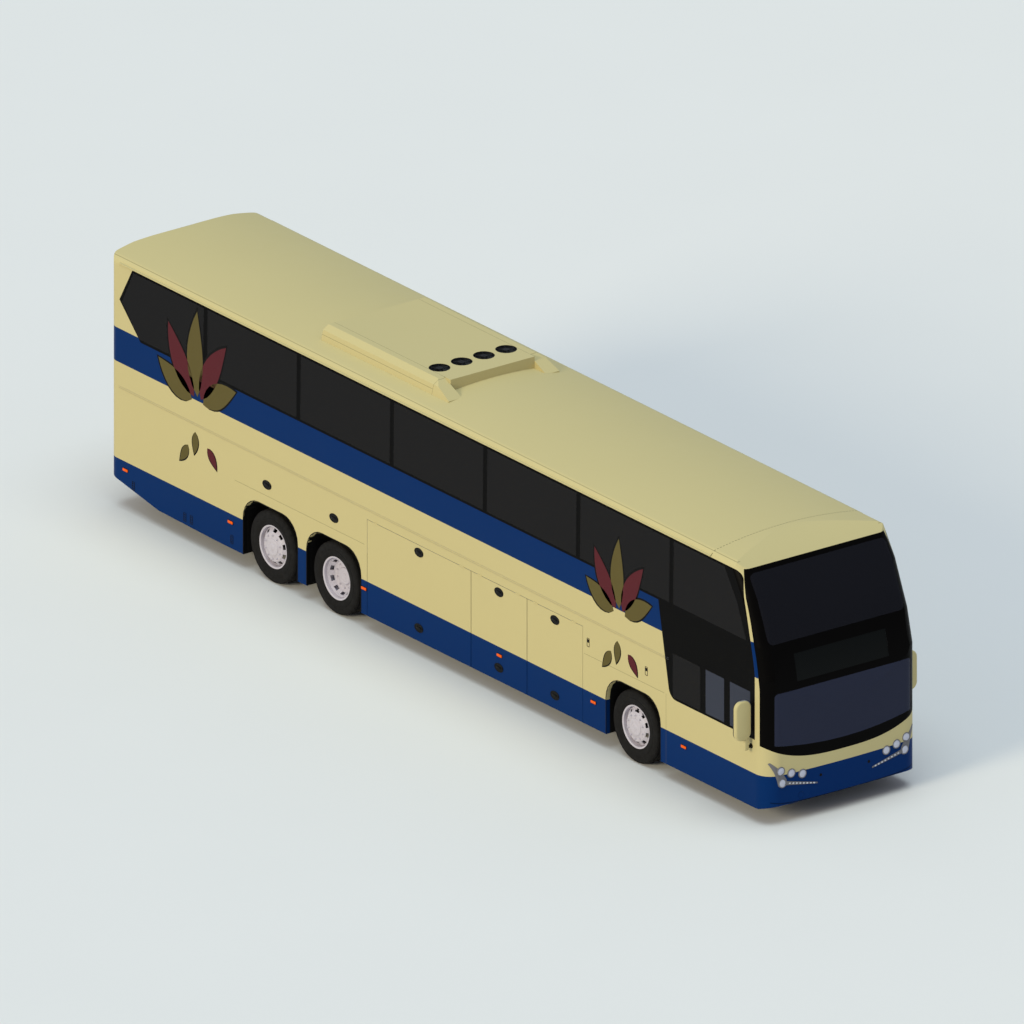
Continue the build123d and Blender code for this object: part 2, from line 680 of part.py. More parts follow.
rise = (DECK - CAB_FLOOR) / RISERS
stair_back = bulkhead - PLATE - SEAT
treads = [box((SEAT - STAIR_HALF, STAIR_HALF - SEAT), (stair_back - number * GOING, stair_back),
              (CAB_FLOOR + SEAT, DECK - number * rise)) for number in range(1, RISERS)]
coach.add("steps", [step, treads[0] + treads[1:]])

# ---- Seats, dash, steering wheel ----


def drawn(profile, y, floor):
    """A profile in (Y, Z) moved to its place."""
    return closed(*[(y + point[0], floor + point[1]) for point in profile])


seats = []
row = bulkhead + FIRST_ROW
while row < tail_joint - LAST_ROW:
    for x in ((SEAT_SIDE - inner_w, -AISLE), (AISLE, inner_w - SEAT_SIDE)):
        seats.append(extruded(drawn(SEAT_PROFILE, row, DECK + SEAT), "X", x))
    row += SEAT_PITCH
seats.append(extruded(drawn(SEAT_PROFILE, bulkhead - DRIVER[2], CAB_FLOOR + SEAT), "X", DRIVER[:2]))
coach.add("seats", seats)
coach.add("dash", extruded(drawn(DASH_PROFILE, nose + DASH_BACK, CAB_FLOOR + SEAT), "X", DASH_X))
hoop = turned([(-HOOP, WHEEL_R - HOOP), (HOOP, WHEEL_R - HOOP), (HOOP, WHEEL_R + HOOP),
               (-HOOP, WHEEL_R + HOOP)], (0, 0), HOOP_FLATS)
wheel = Rot(0, 90, 0) * hoop + Box(2 * WHEEL_R - HOOP, *SPOKE) + rod("Z", (0, 0), BOSS_R, (-HOOP, HOOP))
wheel += rod("Z", (0, 0), COLUMN_R, (-COLUMN_L, 0))
wheel = Pos(WHEEL_AT[0], nose + WHEEL_AT[1], WHEEL_AT[2]) * Rot(WHEEL_TILT, 0, 0) * wheel
wheel -= box((-beyond, 0), (nose, bulkhead), (under, CAB_FLOOR + SEAT))
coach.add("steering_wheel", wheel)

# ---- Arch liners ----
liners = []
for axle in axles:
    for x in ((-inner_w, -LINER_IN), (LINER_IN, inner_w)):
        ring = extruded(arch(axle, LINER), "X", x) - extruded(arch(axle), "X", x)
        liners.append(ring & box(everywhere, (nose, tail), (SKIRT, arch_top + 2 * LINER)))
coach.add("arch_liners", liners)

# ---- Chassis and engine ----
rail_x = (RAIL_X - RAIL_W / 2, RAIL_X + RAIL_W / 2)
rail_z = (RAIL_TOP - RAIL_H, RAIL_TOP)
engine_y = (tail - ENGINE_Y[0], tail - ENGINE_Y[1])
front_run = (bulkhead + SEAT, hold[0] - PLATE - SEAT)
rear_run = (hold[1] + PLATE + SEAT, tail - RAIL_END)
bar_z = (RAIL_TOP - CROSSBAR - 10, RAIL_TOP - 10)
outrigger_z = (RAIL_TOP - CROSSBAR - OUTRIGGER_DROP, RAIL_TOP - OUTRIGGER_DROP)
# the two runs of the rails, with the middles of the outriggers that carry them on the side walls
RUNS = ((front_run, (front_run[0] + OUTRIGGERS[0],)),
        (rear_run, (tag_axle + OUTRIGGERS[1], rear_run[1] - OUTRIGGERS[2])))
frame = []
for run, places in RUNS:
    module = box(rail_x, run, rail_z) + box((-rail_x[1], -rail_x[0]), run, rail_z)
    for y in (run[0] + CROSSBAR_IN, run[1] - CROSSBAR_IN):
        module += box((-rail_x[0], rail_x[0]), around(y, CROSSBAR / 2), bar_z)
    for y in places:
        for sign, name in SIDES:
            module += box(sorted((sign * rail_x[0], sign * inner_w)), around(y, CROSSBAR / 2),
                          outrigger_z)
    frame.append(module)
pad_behind, pad_half, pad_t = JACK_PAD
for sign, name in SIDES:
    for y in (engine_y[0] + ENGINE_ARM[0], engine_y[1] - ENGINE_ARM[0]):
        frame[1] += box(sorted((sign * (ENGINE[0] + SEAT), sign * rail_x[0])),
                        around(y, ENGINE_ARM[1]), rail_z)
    frame[1] += box(around(sign * RAIL_X, pad_half), around(tag_axle + pad_behind, pad_half),
                    (rail_z[0] - pad_t, rail_z[0]))
coach.add("chassis", frame)
engine = box((-ENGINE[0], ENGINE[0]), engine_y, ENGINE[1:])
coach.add("engine", chamfer(engine.edges().filter_by(Axis.Y), 60))

# ---- Axles, knuckles, air springs ----
SPRING_R = 100
SPRING_WAIST = 80
SADDLE = 90               # half size of the seats under the air springs
SPRING_UP = 109           # top of the rear saddles over the axle
BEAM_HALF = 955
BEAM_Y = 45
BEAM_DROP = 61            # top of the front beam's middle below the axle
FIST_R = 50
FIST = 56                 # half height of the kingpin's eye
ARM = 33                  # thickness of the knuckle's arms
ARM_HALF = 42
KNUCKLE_OUT = 1062        # outer face of the knuckle
beam_z = TYRE_R - BEAM_DROP
beam = extruded(closed(
    (-BEAM_HALF, beam_z + 100), (-700, beam_z + 100), (-580, beam_z), (580, beam_z),
    (700, beam_z + 100), (BEAM_HALF, beam_z + 100), (BEAM_HALF, beam_z + 20), (720, beam_z + 20),
    (600, beam_z - 90), (-600, beam_z - 90), (-720, beam_z + 20), (-BEAM_HALF, beam_z + 20)),
    "Y", around(front_axle, BEAM_Y))
eye_z = around(TYRE_R, FIST)
for sign, name in SIDES:
    eye = (sign * KINGPIN, front_axle)
    beam += rod("Z", eye, FIST_R, eye_z)
    beam -= bore("Z", eye, PIN_R + SEAT, (eye_z[0] - 50, eye_z[1] + 50))
    beam += box(around(sign * RAIL_X, SADDLE), around(front_axle, SADDLE), (beam_z - 20, beam_z))
coach.add("front_axle", beam)
spring_feet = {front_axle: beam_z, drive_axle: TYRE_R + SPRING_UP, tag_axle: TYRE_R + SPRING_UP}
springs = []
for axle, foot in spring_feet.items():
    low, high = foot + SEAT, rail_z[0] - SEAT
    waist = (low + high) / 2
    for x in (-RAIL_X, RAIL_X):
        sections = [Pos(x, axle, z) * RegularPolygon(r, SPRING_FLATS) for z, r in (
            (low, SPRING_WAIST), (low + (waist - low) / 2, SPRING_R), (waist, SPRING_WAIST),
            (waist + (high - waist) / 2, SPRING_R), (high, SPRING_WAIST))]
        springs.append(loft(sections, ruled=True))
coach.add("air_springs", springs)


def with_saddles(axle, tube):
    for x in (-RAIL_X, RAIL_X):
        tube += box(around(x, SADDLE), around(axle, SADDLE), (TYRE_R - 40, spring_feet[axle]))
    return tube


DRIVE_END = 905
HEAD_R = 190              # the drive head's bulge, its flat half width and its full half width
HEAD_FLAT = 60
HEAD_HALF = 270
TAG_R = 65
TAG_END = 1010
drive = turned([(-DRIVE_END, 0), (-DRIVE_END, TUBE_R), (-HEAD_HALF, TUBE_R), (-HEAD_FLAT, HEAD_R),
                (HEAD_FLAT, HEAD_R), (HEAD_HALF, TUBE_R), (DRIVE_END, TUBE_R), (DRIVE_END, 0)],
               (drive_axle, TYRE_R), SMALL_FLATS, flat_at_radius=False)
coach.add("drive_axle", with_saddles(drive_axle, drive))
tag = turned([(-STUB_END, 0), (-STUB_END, STUB_R), (-TAG_END, STUB_R), (-TAG_END, TAG_R),
              (TAG_END, TAG_R), (TAG_END, STUB_R), (STUB_END, STUB_R), (STUB_END, 0)],
             (tag_axle, TYRE_R), SMALL_FLATS, flat_at_radius=False)
coach.add("tag_axle", with_saddles(tag_axle, tag))

pin = (eye_z[0] - SEAT - ARM, eye_z[1] + SEAT + ARM)
knuckle = cylinder("Z", (KINGPIN, front_axle), PIN_R, pin)
for z in ((pin[0], pin[0] + ARM), (pin[1] - ARM, pin[1])):
    knuckle += rod("Z", (KINGPIN, front_axle), FIST_R - 6, z)
    knuckle += box((KINGPIN, KNUCKLE_OUT), around(front_axle, ARM_HALF), z)
knuckle += box((KINGPIN + FIST_R + 7, KNUCKLE_OUT), around(front_axle, ARM_HALF), pin)
knuckle += rod("X", (front_axle, TYRE_R), STUB_R, (KNUCKLE_OUT, STUB_END))
coach.add("knuckle_kerbside", knuckle)
coach.add("knuckle_offside", mirrored(knuckle))

# ---- Wheels ----
RIM_T = 20                # barrel with its bead seats
LIP_UP = 16               # height of the flange over the bead seat
LIP_T = 12
FLANGE_IN = 18            # from the outer tyres' face to the flange's face
CONE_R = (262, 203)       # the disc's cone, at its foot and at its face
HUB_R = 118
VALLEY = 52               # depth of the groove between flange and disc
TWIN_FACE = 172           # depth of the twin wheels' face below the outer tyre's face
DISC_T = 35
HUB_IN = 120              # depth of the drive hub behind its face
rim_r = TYRE_BORE - SEAT
rim_face = TRACK_OUT - FLANGE_IN
single_mid = TRACK_OUT - TYRE_W / 2
twin_mids = (TRACK_OUT - TWIN_W / 2, TWIN_IN + TWIN_W / 2)


def tyre(width, middle, axle):
    """A road tyre with chamfered shoulders and bulging walls."""
    h = width / 2
    half = [(h - 26, TYRE_R), (h - 4, TYRE_R - 56), (h, TYRE_R - 141), (h - 40, TYRE_BORE)]
    outline = [(-x, r) for x, r in reversed(half)] + half
    outline = [(middle + x, r) for x, r in outline]
    return turned(outline, (axle, TYRE_R), WHEEL_FLATS)


def flat_rim(axle):
    """A single wheel; its disc stands outboard, nearly flush with the flange."""
    inside = 2 * single_mid - rim_face
    outline = [
        (inside, rim_r), (rim_face - LIP_T, rim_r), (rim_face - LIP_T, rim_r + LIP_UP),
        (rim_face, rim_r + LIP_UP), (rim_face, rim_r - RIM_T), (rim_face - VALLEY, CONE_R[0]),
        (rim_face - 4, CONE_R[1]), (rim_face, HUB_R), (rim_face + 14, HUB_R - 8),
        (rim_face + 14, STUB_R + SEAT), (KNUCKLE_OUT + SEAT, STUB_R + SEAT),
        (KNUCKLE_OUT + SEAT, HUB_R), (rim_face - VALLEY - DISC_T, CONE_R[1]),
        (rim_face - VALLEY - DISC_T, rim_r - RIM_T), (inside, rim_r - RIM_T)]
    return turned(outline, (axle, TYRE_R), WHEEL_FLATS)


def twin_rim(axle):
    """Two wheels bolted back to back, the outer disc deep inside its flange."""
    inside = TWIN_IN + 30
    face = TRACK_OUT - TWIN_FACE
    outline = [
        (inside, rim_r), (rim_face - LIP_T, rim_r), (rim_face - LIP_T, rim_r + LIP_UP),
        (rim_face, rim_r + LIP_UP), (rim_face, rim_r - RIM_T), (rim_face - VALLEY, CONE_R[0]),
        (face, CONE_R[1]), (face, HUB_R), (face + 24, HUB_R - 8), (face + 24, 0),
        (DRIVE_END + SEAT, 0), (DRIVE_END + SEAT, TUBE_R + SEAT),
        (DRIVE_END - HUB_IN, TUBE_R + SEAT), (DRIVE_END - HUB_IN, HUB_R),
        (face - DISC_T, HUB_R + 40), (face - DISC_T, rim_r - RIM_T), (inside, rim_r - RIM_T)]
    return turned(outline, (axle, TYRE_R), WHEEL_FLATS)


for sign, name in SIDES:
    for label, axle in (("front", front_axle), ("tag", tag_axle)):
        rim = flat_rim(axle)
        coach.add(f"rim_{label}_{name}", rim if sign > 0 else mirrored(rim))
        coach.add(f"tyre_{label}_{name}", tyre(TYRE_W, sign * single_mid, axle))
    rim = twin_rim(drive_axle)
    coach.add(f"rim_drive_{name}", rim if sign > 0 else mirrored(rim))
    coach.add(f"tyres_drive_{name}", [tyre(TWIN_W, sign * mid, drive_axle) for mid in twin_mids])

# ---- Mirrors ----
mirrors = []
for sign, name in SIDES:
    y = nose + MIRROR_Y[name]
    housing = box(MIRROR_X, around(y, MIRROR_D / 2), MIRROR_Z)
    housing = fillet(housing.edges().filter_by(Axis.Y), MIRROR_ROUND)
    stem = box(MIRROR_STEM, around(y, MIRROR_D / 3), (ARM_Z - 40, MIRROR_Z[0] + 40))
    arm = rod("X", (y, ARM_Z), ARM_R, (half_w + SEAT, MIRROR_STEM[1] - 20))
    mirror_set = housing + stem + arm
    mirrors.append(mirror_set if sign > 0 else mirrored(mirror_set))
coach.add("mirrors", mirrors)

coach.write()
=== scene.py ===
import math

import bmesh
import bpy
from mathutils import Matrix, Vector


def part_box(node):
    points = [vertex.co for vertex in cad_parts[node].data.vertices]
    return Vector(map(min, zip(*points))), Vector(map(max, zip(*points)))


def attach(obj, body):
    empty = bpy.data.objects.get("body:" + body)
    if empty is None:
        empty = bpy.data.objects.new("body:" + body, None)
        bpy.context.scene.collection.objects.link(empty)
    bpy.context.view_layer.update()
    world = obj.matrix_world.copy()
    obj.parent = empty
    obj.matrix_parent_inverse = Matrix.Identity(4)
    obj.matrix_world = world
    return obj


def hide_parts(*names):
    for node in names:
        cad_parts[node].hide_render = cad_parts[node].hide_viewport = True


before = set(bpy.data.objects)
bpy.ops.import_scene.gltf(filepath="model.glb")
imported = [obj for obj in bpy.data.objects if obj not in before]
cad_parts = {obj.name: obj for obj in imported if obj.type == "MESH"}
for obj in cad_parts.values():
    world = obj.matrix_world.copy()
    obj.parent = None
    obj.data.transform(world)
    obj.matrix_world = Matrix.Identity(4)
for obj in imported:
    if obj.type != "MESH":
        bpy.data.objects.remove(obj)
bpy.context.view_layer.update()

# A three-axle touring coach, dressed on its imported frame. All sizes in metres: +X is the kerb side,
# -Y the front, +Z up, and the ground is at Z = 0.

SIDES = {"offside": -1, "kerbside": 1}
HALF_W = 1.275
HALF_L = 7.370

# ---- Colours ----
CREAM = (0.560, 0.480, 0.240)
BLUE = (0.0020, 0.0245, 0.1180)
BLACK = (0.0018, 0.0015, 0.0014)
LINING = (0.26, 0.26, 0.27)
UNDERSEAL = (0.0060, 0.0060, 0.0062)
MAROON = (0.0908, 0.0137, 0.0194)
OLIVE = (0.1070, 0.0844, 0.0252)
DARK_PANE = (0.0052, 0.0042, 0.0044)
LIGHT_PANE = (0.036, 0.041, 0.062)

# ---- Livery: heights at which the painted colours meet ----
SKIRT_TOP = 0.716
BAND = (2.10, 2.585)
GLAZING = (2.530, 3.500)
TAIL_TIP = ((6.800, 3.500), (7.078, 3.000), (6.600, 2.530))
CAB_EDGE = ((-4.915, 2.530), (-5.175, 1.200))
CAB_FOOT = 1.200
CAB_ROUND = 0.13
CAB_HEAD_ROUND = 0.14
LINING_FOOT = 1.120
# The painted pillar's two edges, by the screens and by the driver's window: place at its foot,
# the height from which it leans back, and the factor and power of the lean.
SCREEN_EDGE = (-7.156, 1.900, 0.240, 1.5)
WINDOW_EDGE = (-7.065, 2.100, 0.250, 1.3)
LIGHT_PANES = (-5.960, 2.250)    # the cab's low panes ahead of this and under this are less tinted
SMILE = (0.885, 0.125)    # lower edge of the black nose: height in the middle, rise with |x| cubed
REAR_FRAME = (1.060, 2.425, 3.385)

# ---- Wheels ----
TYRE_R = 0.511
TRACK_OUT = 1.250
TYRE_W = 0.290
TWIN_W = 0.275
TWIN_IN = 0.630
AXLES = {"front": -4.360, "drive": 2.300, "tag": 3.710}
NUT_CIRCLE = 0.1675
NUTS = 10

# ---- The coach's own surfaces ----
WAIST = 2.400             # the sides stand upright up to here
LEAN = (0.014, 3.570)     # and lean in by this much at this height
NOSE_BOW = 0.057
NOSE_CORNER = (1.025, -7.0825)
NOSE_ROUND = 0.250
TAIL_BOW = 0.060
DOME_JOINT = -6.060
EDGE_JOINT = 3.574
EDGE_JOINT_FROM = 1.150
FASTENER_PITCH = 0.050
POD_DECK = 0.700
POD_FLANK = 3.700
POD_CAP = 0.590
ARCH = (0.600, 1.075, 0.330)      # half width, head and corner round of a wheel arch
ARCH_LIP = 0.014
FOOT_Z = 0.235
BUMPER_CREASE = 0.290
CREASE_END = 1.180
CREASE_RISE = 0.050
CREASE_SHADE = (0.0010, 0.0060, 0.0260)


class Finish:
    """A surface finish, built up from shader nodes that read Object coordinates."""

    def __init__(self, name, colour, roughness, metallic=0.0, specular=0.5, coat=0.0):
        self.material = bpy.data.materials.new(name)
        self.material.use_nodes = True
        self.tree = self.material.node_tree
        self.shader = self.tree.nodes["Principled BSDF"]
        constants = {"Base Color": (*colour, 1), "Roughness": roughness, "Metallic": metallic,
                     "Specular IOR Level": specular, "Coat Weight": coat, "Coat Roughness": 0.08}
        for socket, value in constants.items():
            self.shader.inputs[socket].default_value = value
        self.relief = None
        coordinates = self.node("TexCoord", {})
        self.point, self.facing = coordinates["Object"], coordinates["Normal"]
        self.x, self.y, self.z = self.node("SeparateXYZ", {0: self.point})

    def node(self, kind, inputs, **settings):
        """The outputs of a new shader node, with its settings made and its inputs fed."""
        node = self.tree.nodes.new("ShaderNode" + kind)
        for setting, value in settings.items():
            setattr(node, setting, value)
        for socket, value in inputs.items():
            self.feed(node.inputs[socket], value)
        return node.outputs

    def feed(self, socket, value):
        """Join a node's output to a socket, or set the socket to a constant."""
        if isinstance(value, bpy.types.NodeSocket):
            self.tree.links.new(value, socket)
        else:
            socket.default_value = (*value, 1) if socket.type == "RGBA" else value

    # Arithmetic on values

    def math(self, operation, *values):
        return self.node("Math", dict(enumerate(values)), operation=operation)[0]

    def times(self, first, *others):
        for other in others:
            first = self.math("MULTIPLY", first, other)
        return first

    def scaled_sum(self, value, factor, added):
        """value * factor + added"""
        return self.math("MULTIPLY_ADD", value, factor, added)

    def less(self, value, taken):
        return self.math("SUBTRACT", value, taken)

    def largest(self, first, *others):
        for other in others:
            first = self.math("MAXIMUM", first, other)
        return first

    def over(self, value, limit):
        return self.math("GREATER_THAN", value, limit)

    def under(self, value, limit):
        return self.math("LESS_THAN", value, limit)

    def at(self, value, place, half):
        """1 within a distance of a place."""
        return self.math("COMPARE", value, place, half)

    def between(self, value, low, high):
        return self.times(self.over(value, low), self.under(value, high))

    def size(self, value):
        return self.math("ABSOLUTE", value)

    def beyond_line(self, start, end):
        """Signed distance in (Y, Z) from the line through two points, positive on its left."""
        run, rise = end[0] - start[0], end[1] - start[1]
        length = math.hypot(run, rise)
        a, b = -rise / length, run / length
        along = self.scaled_sum(self.y, a, -(a * start[0] + b * start[1]))
        return self.scaled_sum(self.z, b, along)

    def rounded_corner(self, first, second, radius):
        """1 inside two edges that meet in a round; both distances are positive outside."""
        one, two = (self.largest(self.math("ADD", distance, radius), 0.0)
                    for distance in (first, second))
        square = self.scaled_sum(one, one, self.times(two, two))
        return self.under(self.math("SQRT", square), radius)

    # Patterns, and what they drive

    def noise(self, scale, detail=3.0, stretch=None):
        point = self.point
        if stretch:
            point = self.node("Mapping", {"Vector": point, "Scale": stretch})[0]
        return self.node("TexNoise", {"Scale": scale, "Detail": detail, "Vector": point})[0]

    def waves(self, scale, axis="X"):
        return self.node("TexWave", {"Scale": scale, "Vector": self.point},
                         bands_direction=axis)[1]

    def cells(self, scale):
        return self.node("TexVoronoi", {"Scale": scale, "Vector": self.point})[0]

    def mix(self, factor, first, second):
        return self.node("Mix", {0: factor, 6: first, 7: second}, data_type="RGBA")[2]

    def mottled(self, colour, scale, amount, detail=3.0):
        """The colour, a little darker and lighter from place to place."""
        dark = tuple(c * (1 - amount) for c in colour)
        light = tuple(min(1.0, c * (1 + amount)) for c in colour)
        return self.mix(self.noise(scale, detail), dark, light)

    def coloured(self, colour):
        self.feed(self.shader.inputs["Base Color"], colour)

    def roughened(self, scale, low, high):
        span = self.node("MapRange", {"Value": self.noise(scale), "From Min": 0.3, "From Max": 0.7,
                                      "To Min": low, "To Max": high})[0]
        self.feed(self.shader.inputs["Roughness"], span)

    def bumped(self, height, strength, distance):
        inputs = {"Strength": strength, "Distance": distance, "Height": height}
        if self.relief is not None:
            inputs["Normal"] = self.relief
        self.relief = self.node("Bump", inputs)[0]
        self.feed(self.shader.inputs["Normal"], self.relief)


# ---- Paint: each function works out the colours of a coat ----

JOINT_SHADE = (0.115, 0.098, 0.050)
JOINT_HALF = 0.003
SIDE_JOINT_HALF = 0.0025
# Joints of the side panels: the axis across them, their place, and the stretch they run over
SIDE_JOINTS = (("z", 1.230, 1.62, 4.50), ("z", 1.230, -5.05, -3.27), ("y", -5.090, 0.23, 1.233))
REAR_FRAME_ROUND = 0.12
FLOOR_LEVEL = 2.0         # parts of the lining above and below this face up and down


def livery(coat):
    """The cream coach with its blue skirt and waist band."""
    cream = coat.mottled(CREAM, 0.9, 0.012)
    blue = coat.mottled(BLUE, 0.9, 0.04)
    skirt = coat.under(coat.z, SKIRT_TOP)
    return coat.mix(coat.largest(skirt, coat.between(coat.z, *BAND)), cream, blue)


def with_lining(coat, colour):
    """Paint outside; inside, grey trim, and black underseal below the floors."""
    nx, ny, nz = coat.node("SeparateXYZ", {0: coat.facing})
    outward = coat.scaled_sum(coat.times(ny, coat.y), 0.2, coat.times(nx, coat.x))
    outward = coat.scaled_sum(nz, coat.less(coat.z, FLOOR_LEVEL), outward)
    lining = coat.mix(coat.under(coat.z, LINING_FOOT), coat.mottled(LINING, 60, 0.08), UNDERSEAL)
    return coat.mix(coat.under(outward, 0.0), colour, lining)


def roof_colours(coat):
    """Fine joints along the roof's rounded edges, and the dome's fastened joint across it."""
    outside = coat.over(coat.size(coat.x), EDGE_JOINT_FROM)
    edges = coat.times(coat.at(coat.z, EDGE_JOINT, JOINT_HALF), outside, 0.45)
    colour = coat.mix(edges, livery(coat), JOINT_SHADE)
    pitch = coat.math("SINE", coat.times(coat.x, math.tau / FASTENER_PITCH))
    heads = coat.times(coat.at(coat.y, DOME_JOINT, 0.007), coat.over(pitch, 0.0), 0.85)
    return coat.mix(heads, colour, JOINT_SHADE)


def pod_colours(coat):
    """Joints where the air-conditioning pod's fairings meet the deck, and their front caps."""
    width = coat.size(coat.x)
    outside = coat.over(width, POD_DECK + 0.02)
    flank_joint = coat.times(outside, coat.at(coat.z, POD_FLANK, JOINT_HALF))
    cap_joint = coat.times(outside, coat.at(coat.y, POD_CAP, JOINT_HALF))
    joints = coat.largest(coat.at(width, POD_DECK, JOINT_HALF), flank_joint, cap_joint)
    joints = coat.times(joints, coat.over(coat.y, POD_CAP - 0.004), 0.6)
    return coat.mix(joints, livery(coat), JOINT_SHADE)


def behind_pillar(coat, edge):
    """Distance behind one edge of the painted pillar, which leans back with the windscreen."""
    foot, start, factor, power = edge
    lean = coat.largest(coat.less(coat.z, start), 0.0)
    return coat.less(coat.y, coat.scaled_sum(coat.math("POWER", lean, power), factor, foot))


def side_black(coat):
    """1 in the black field of the side windows, from the painted pillar back to its tip."""
    upper = coat.over(coat.beyond_line(TAIL_TIP[1], TAIL_TIP[0]), 0)
    lower = coat.over(coat.beyond_line(TAIL_TIP[2], TAIL_TIP[1]), 0)
    glazing = coat.times(coat.between(coat.z, *GLAZING), upper, lower)
    cab = coat.rounded_corner(coat.beyond_line(*CAB_EDGE), coat.less(CAB_FOOT, coat.z), CAB_ROUND)
    ahead = coat.times(behind_pillar(coat, WINDOW_EDGE), -1.0)
    fore = coat.rounded_corner(ahead, coat.less(coat.z, GLAZING[1]), CAB_HEAD_ROUND)
    return coat.times(coat.largest(glazing, cab), fore)


def side_colours(coat):
    """The livery with its panel joints, and the black surround of the bonded glass."""
    colour = livery(coat)
    for axis, place, low, high in SIDE_JOINTS:
        across, along = (coat.z, coat.y) if axis == "z" else (coat.y, coat.z)
        line = coat.times(coat.at(across, place, SIDE_JOINT_HALF), coat.between(along, low, high))
        colour = coat.mix(coat.times(line, 0.75), colour, JOINT_SHADE)
    return coat.mix(side_black(coat), colour, BLACK)


def bumper_colours(coat):
    """The shadow of the crease that runs along the bumper's foot and up at both ends."""
    share = coat.math("DIVIDE", coat.size(coat.x), CREASE_END)
    rise = coat.scaled_sum(coat.math("POWER", share, 6.0), CREASE_RISE, BUMPER_CREASE)
    along = coat.times(coat.at(coat.z, rise, 0.007), coat.under(share, 1.0))
    return coat.mix(along, livery(coat), CREASE_SHADE)


def front_colours(coat):
    """The black field round both screens and the display."""
    cubed = coat.math("POWER", coat.size(coat.x), 3.0)
    above = coat.over(coat.z, coat.scaled_sum(cubed, SMILE[1], SMILE[0]))
    screens = coat.times(above, coat.under(behind_pillar(coat, SCREEN_EDGE), 0.0))
    return coat.mix(coat.largest(screens, side_black(coat)), livery(coat), BLACK)


def rear_colours(coat):
    """The black frame of the rear glass."""
    half, low, high = REAR_FRAME
    height = coat.size(coat.less(coat.z, (low + high) / 2))
    black = coat.rounded_corner(coat.less(coat.size(coat.x), half),
                                coat.less(height, (high - low) / 2), REAR_FRAME_ROUND)
    return coat.mix(black, livery(coat), BLACK)


def sprayed(name, colours, lined=True):
    """A coat of paint with the faint unevenness of sprayed panels, and the lining behind it."""
    coat = Finish(name, CREAM, 0.34, specular=0.03)
    colour = colours(coat)
    coat.coloured(with_lining(coat, colour) if lined else colour)
    coat.bumped(coat.noise(7.0, 2), 0.03, 0.002)
    coat.roughened(3.5, 0.30, 0.40)
    return coat.material


# ---- Other finishes ----

def even_finish(name, colour, roughness, mottle, grain, wear=None, **shine):
    """One colour throughout.

    mottle = (scale, amount, detail), grain = (noise, strength, depth), and wear = (scale,
    smoothest, roughest)."""
    finish = Finish(name, colour, roughness, **shine)
    finish.coloured(finish.mottled(colour, *mottle))
    finish.bumped(finish.noise(*grain[0]), *grain[1:])
    if wear:
        finish.roughened(*wear)
    return finish.material


def bare_steel(name, colour, roughness):
    return even_finish(name, colour, roughness, (40, 0.06),
                       ((260, 3, (1.0, 1.0, 6.0)), 0.08, 0.0004),
                       (30, roughness - 0.06, roughness + 0.08), metallic=1.0)


def transfer_film(name, colour):
    return even_finish(name, colour, 0.4, (5, 0.05), ((200, 2), 0.05, 0.0004), (10, 0.34, 0.46),
                       specular=0.06)


def tinted_glass(name, colour, alpha, cab_tint=None):
    """Window glass; the cab's low panes may have a tint of their own."""
    glass = Finish(name, colour, 0.08, specular=0.08)
    tint = glass.mottled(colour, 0.7, 0.06)
    if cab_tint:
        ahead, low = (glass.under(place, limit)
                      for place, limit in zip((glass.y, glass.z), LIGHT_PANES))
        tint = glass.mix(glass.times(ahead, low), tint, cab_tint)
    glass.coloured(tint)
    glass.bumped(glass.noise(1.3, 1), 0.05, 0.004)
    glass.roughened(4, 0.05, 0.12)
    glass.shader.inputs["Alpha"].default_value = alpha
    return glass.material


def moulded(name, colour, roughness, gloss=0.3):
    """Grained plastic or rubber."""
    plastic = Finish(name, colour, roughness, specular=gloss)
    plastic.coloured(plastic.mottled(colour, 30, 0.10))
    plastic.bumped(plastic.cells(420), 0.25, 0.0006)
    plastic.roughened(25, roughness - 0.08, roughness + 0.08)
    return plastic.material


def tyre_rubber():
    """Tyre rubber with road dust in it."""
    tread = Finish("tyre_rubber", (0.0075, 0.0070, 0.0070), 0.75, specular=0.15)
    ground = tread.mottled((0.0078, 0.0070, 0.0068), 9, 0.25, 5)
    tread.coloured(tread.mix(tread.times(tread.noise(60, 4), 0.3), ground, (0.013, 0.012, 0.011)))
    tread.bumped(tread.noise(350, 3), 0.25, 0.0008)
    tread.roughened(14, 0.66, 0.86)
    return tread.material


def frame_paint():
    """Black chassis paint, dusty in places."""
    colour = (0.020, 0.020, 0.021)
    frame_coat = Finish("chassis_paint", colour, 0.5, specular=0.4)
    dust = frame_coat.mottled((0.050, 0.046, 0.040), 30, 0.2)
    frame_coat.coloured(frame_coat.mix(frame_coat.times(frame_coat.noise(7, 5), 0.5), colour, dust))
    frame_coat.bumped(frame_coat.noise(120, 4), 0.2, 0.001)
    frame_coat.roughened(9, 0.42, 0.62)
    return frame_coat.material


def floor_vinyl():
    """Flecked floor covering."""
    covering = Finish("floor_vinyl", (0.055, 0.058, 0.065), 0.6, specular=0.3)
    flecks = covering.over(covering.noise(320, 1), 0.62)
    covering.coloured(covering.mix(flecks, (0.050, 0.053, 0.060), (0.130, 0.135, 0.150)))
    covering.bumped(covering.noise(500, 2), 0.15, 0.0005)
    return covering.material


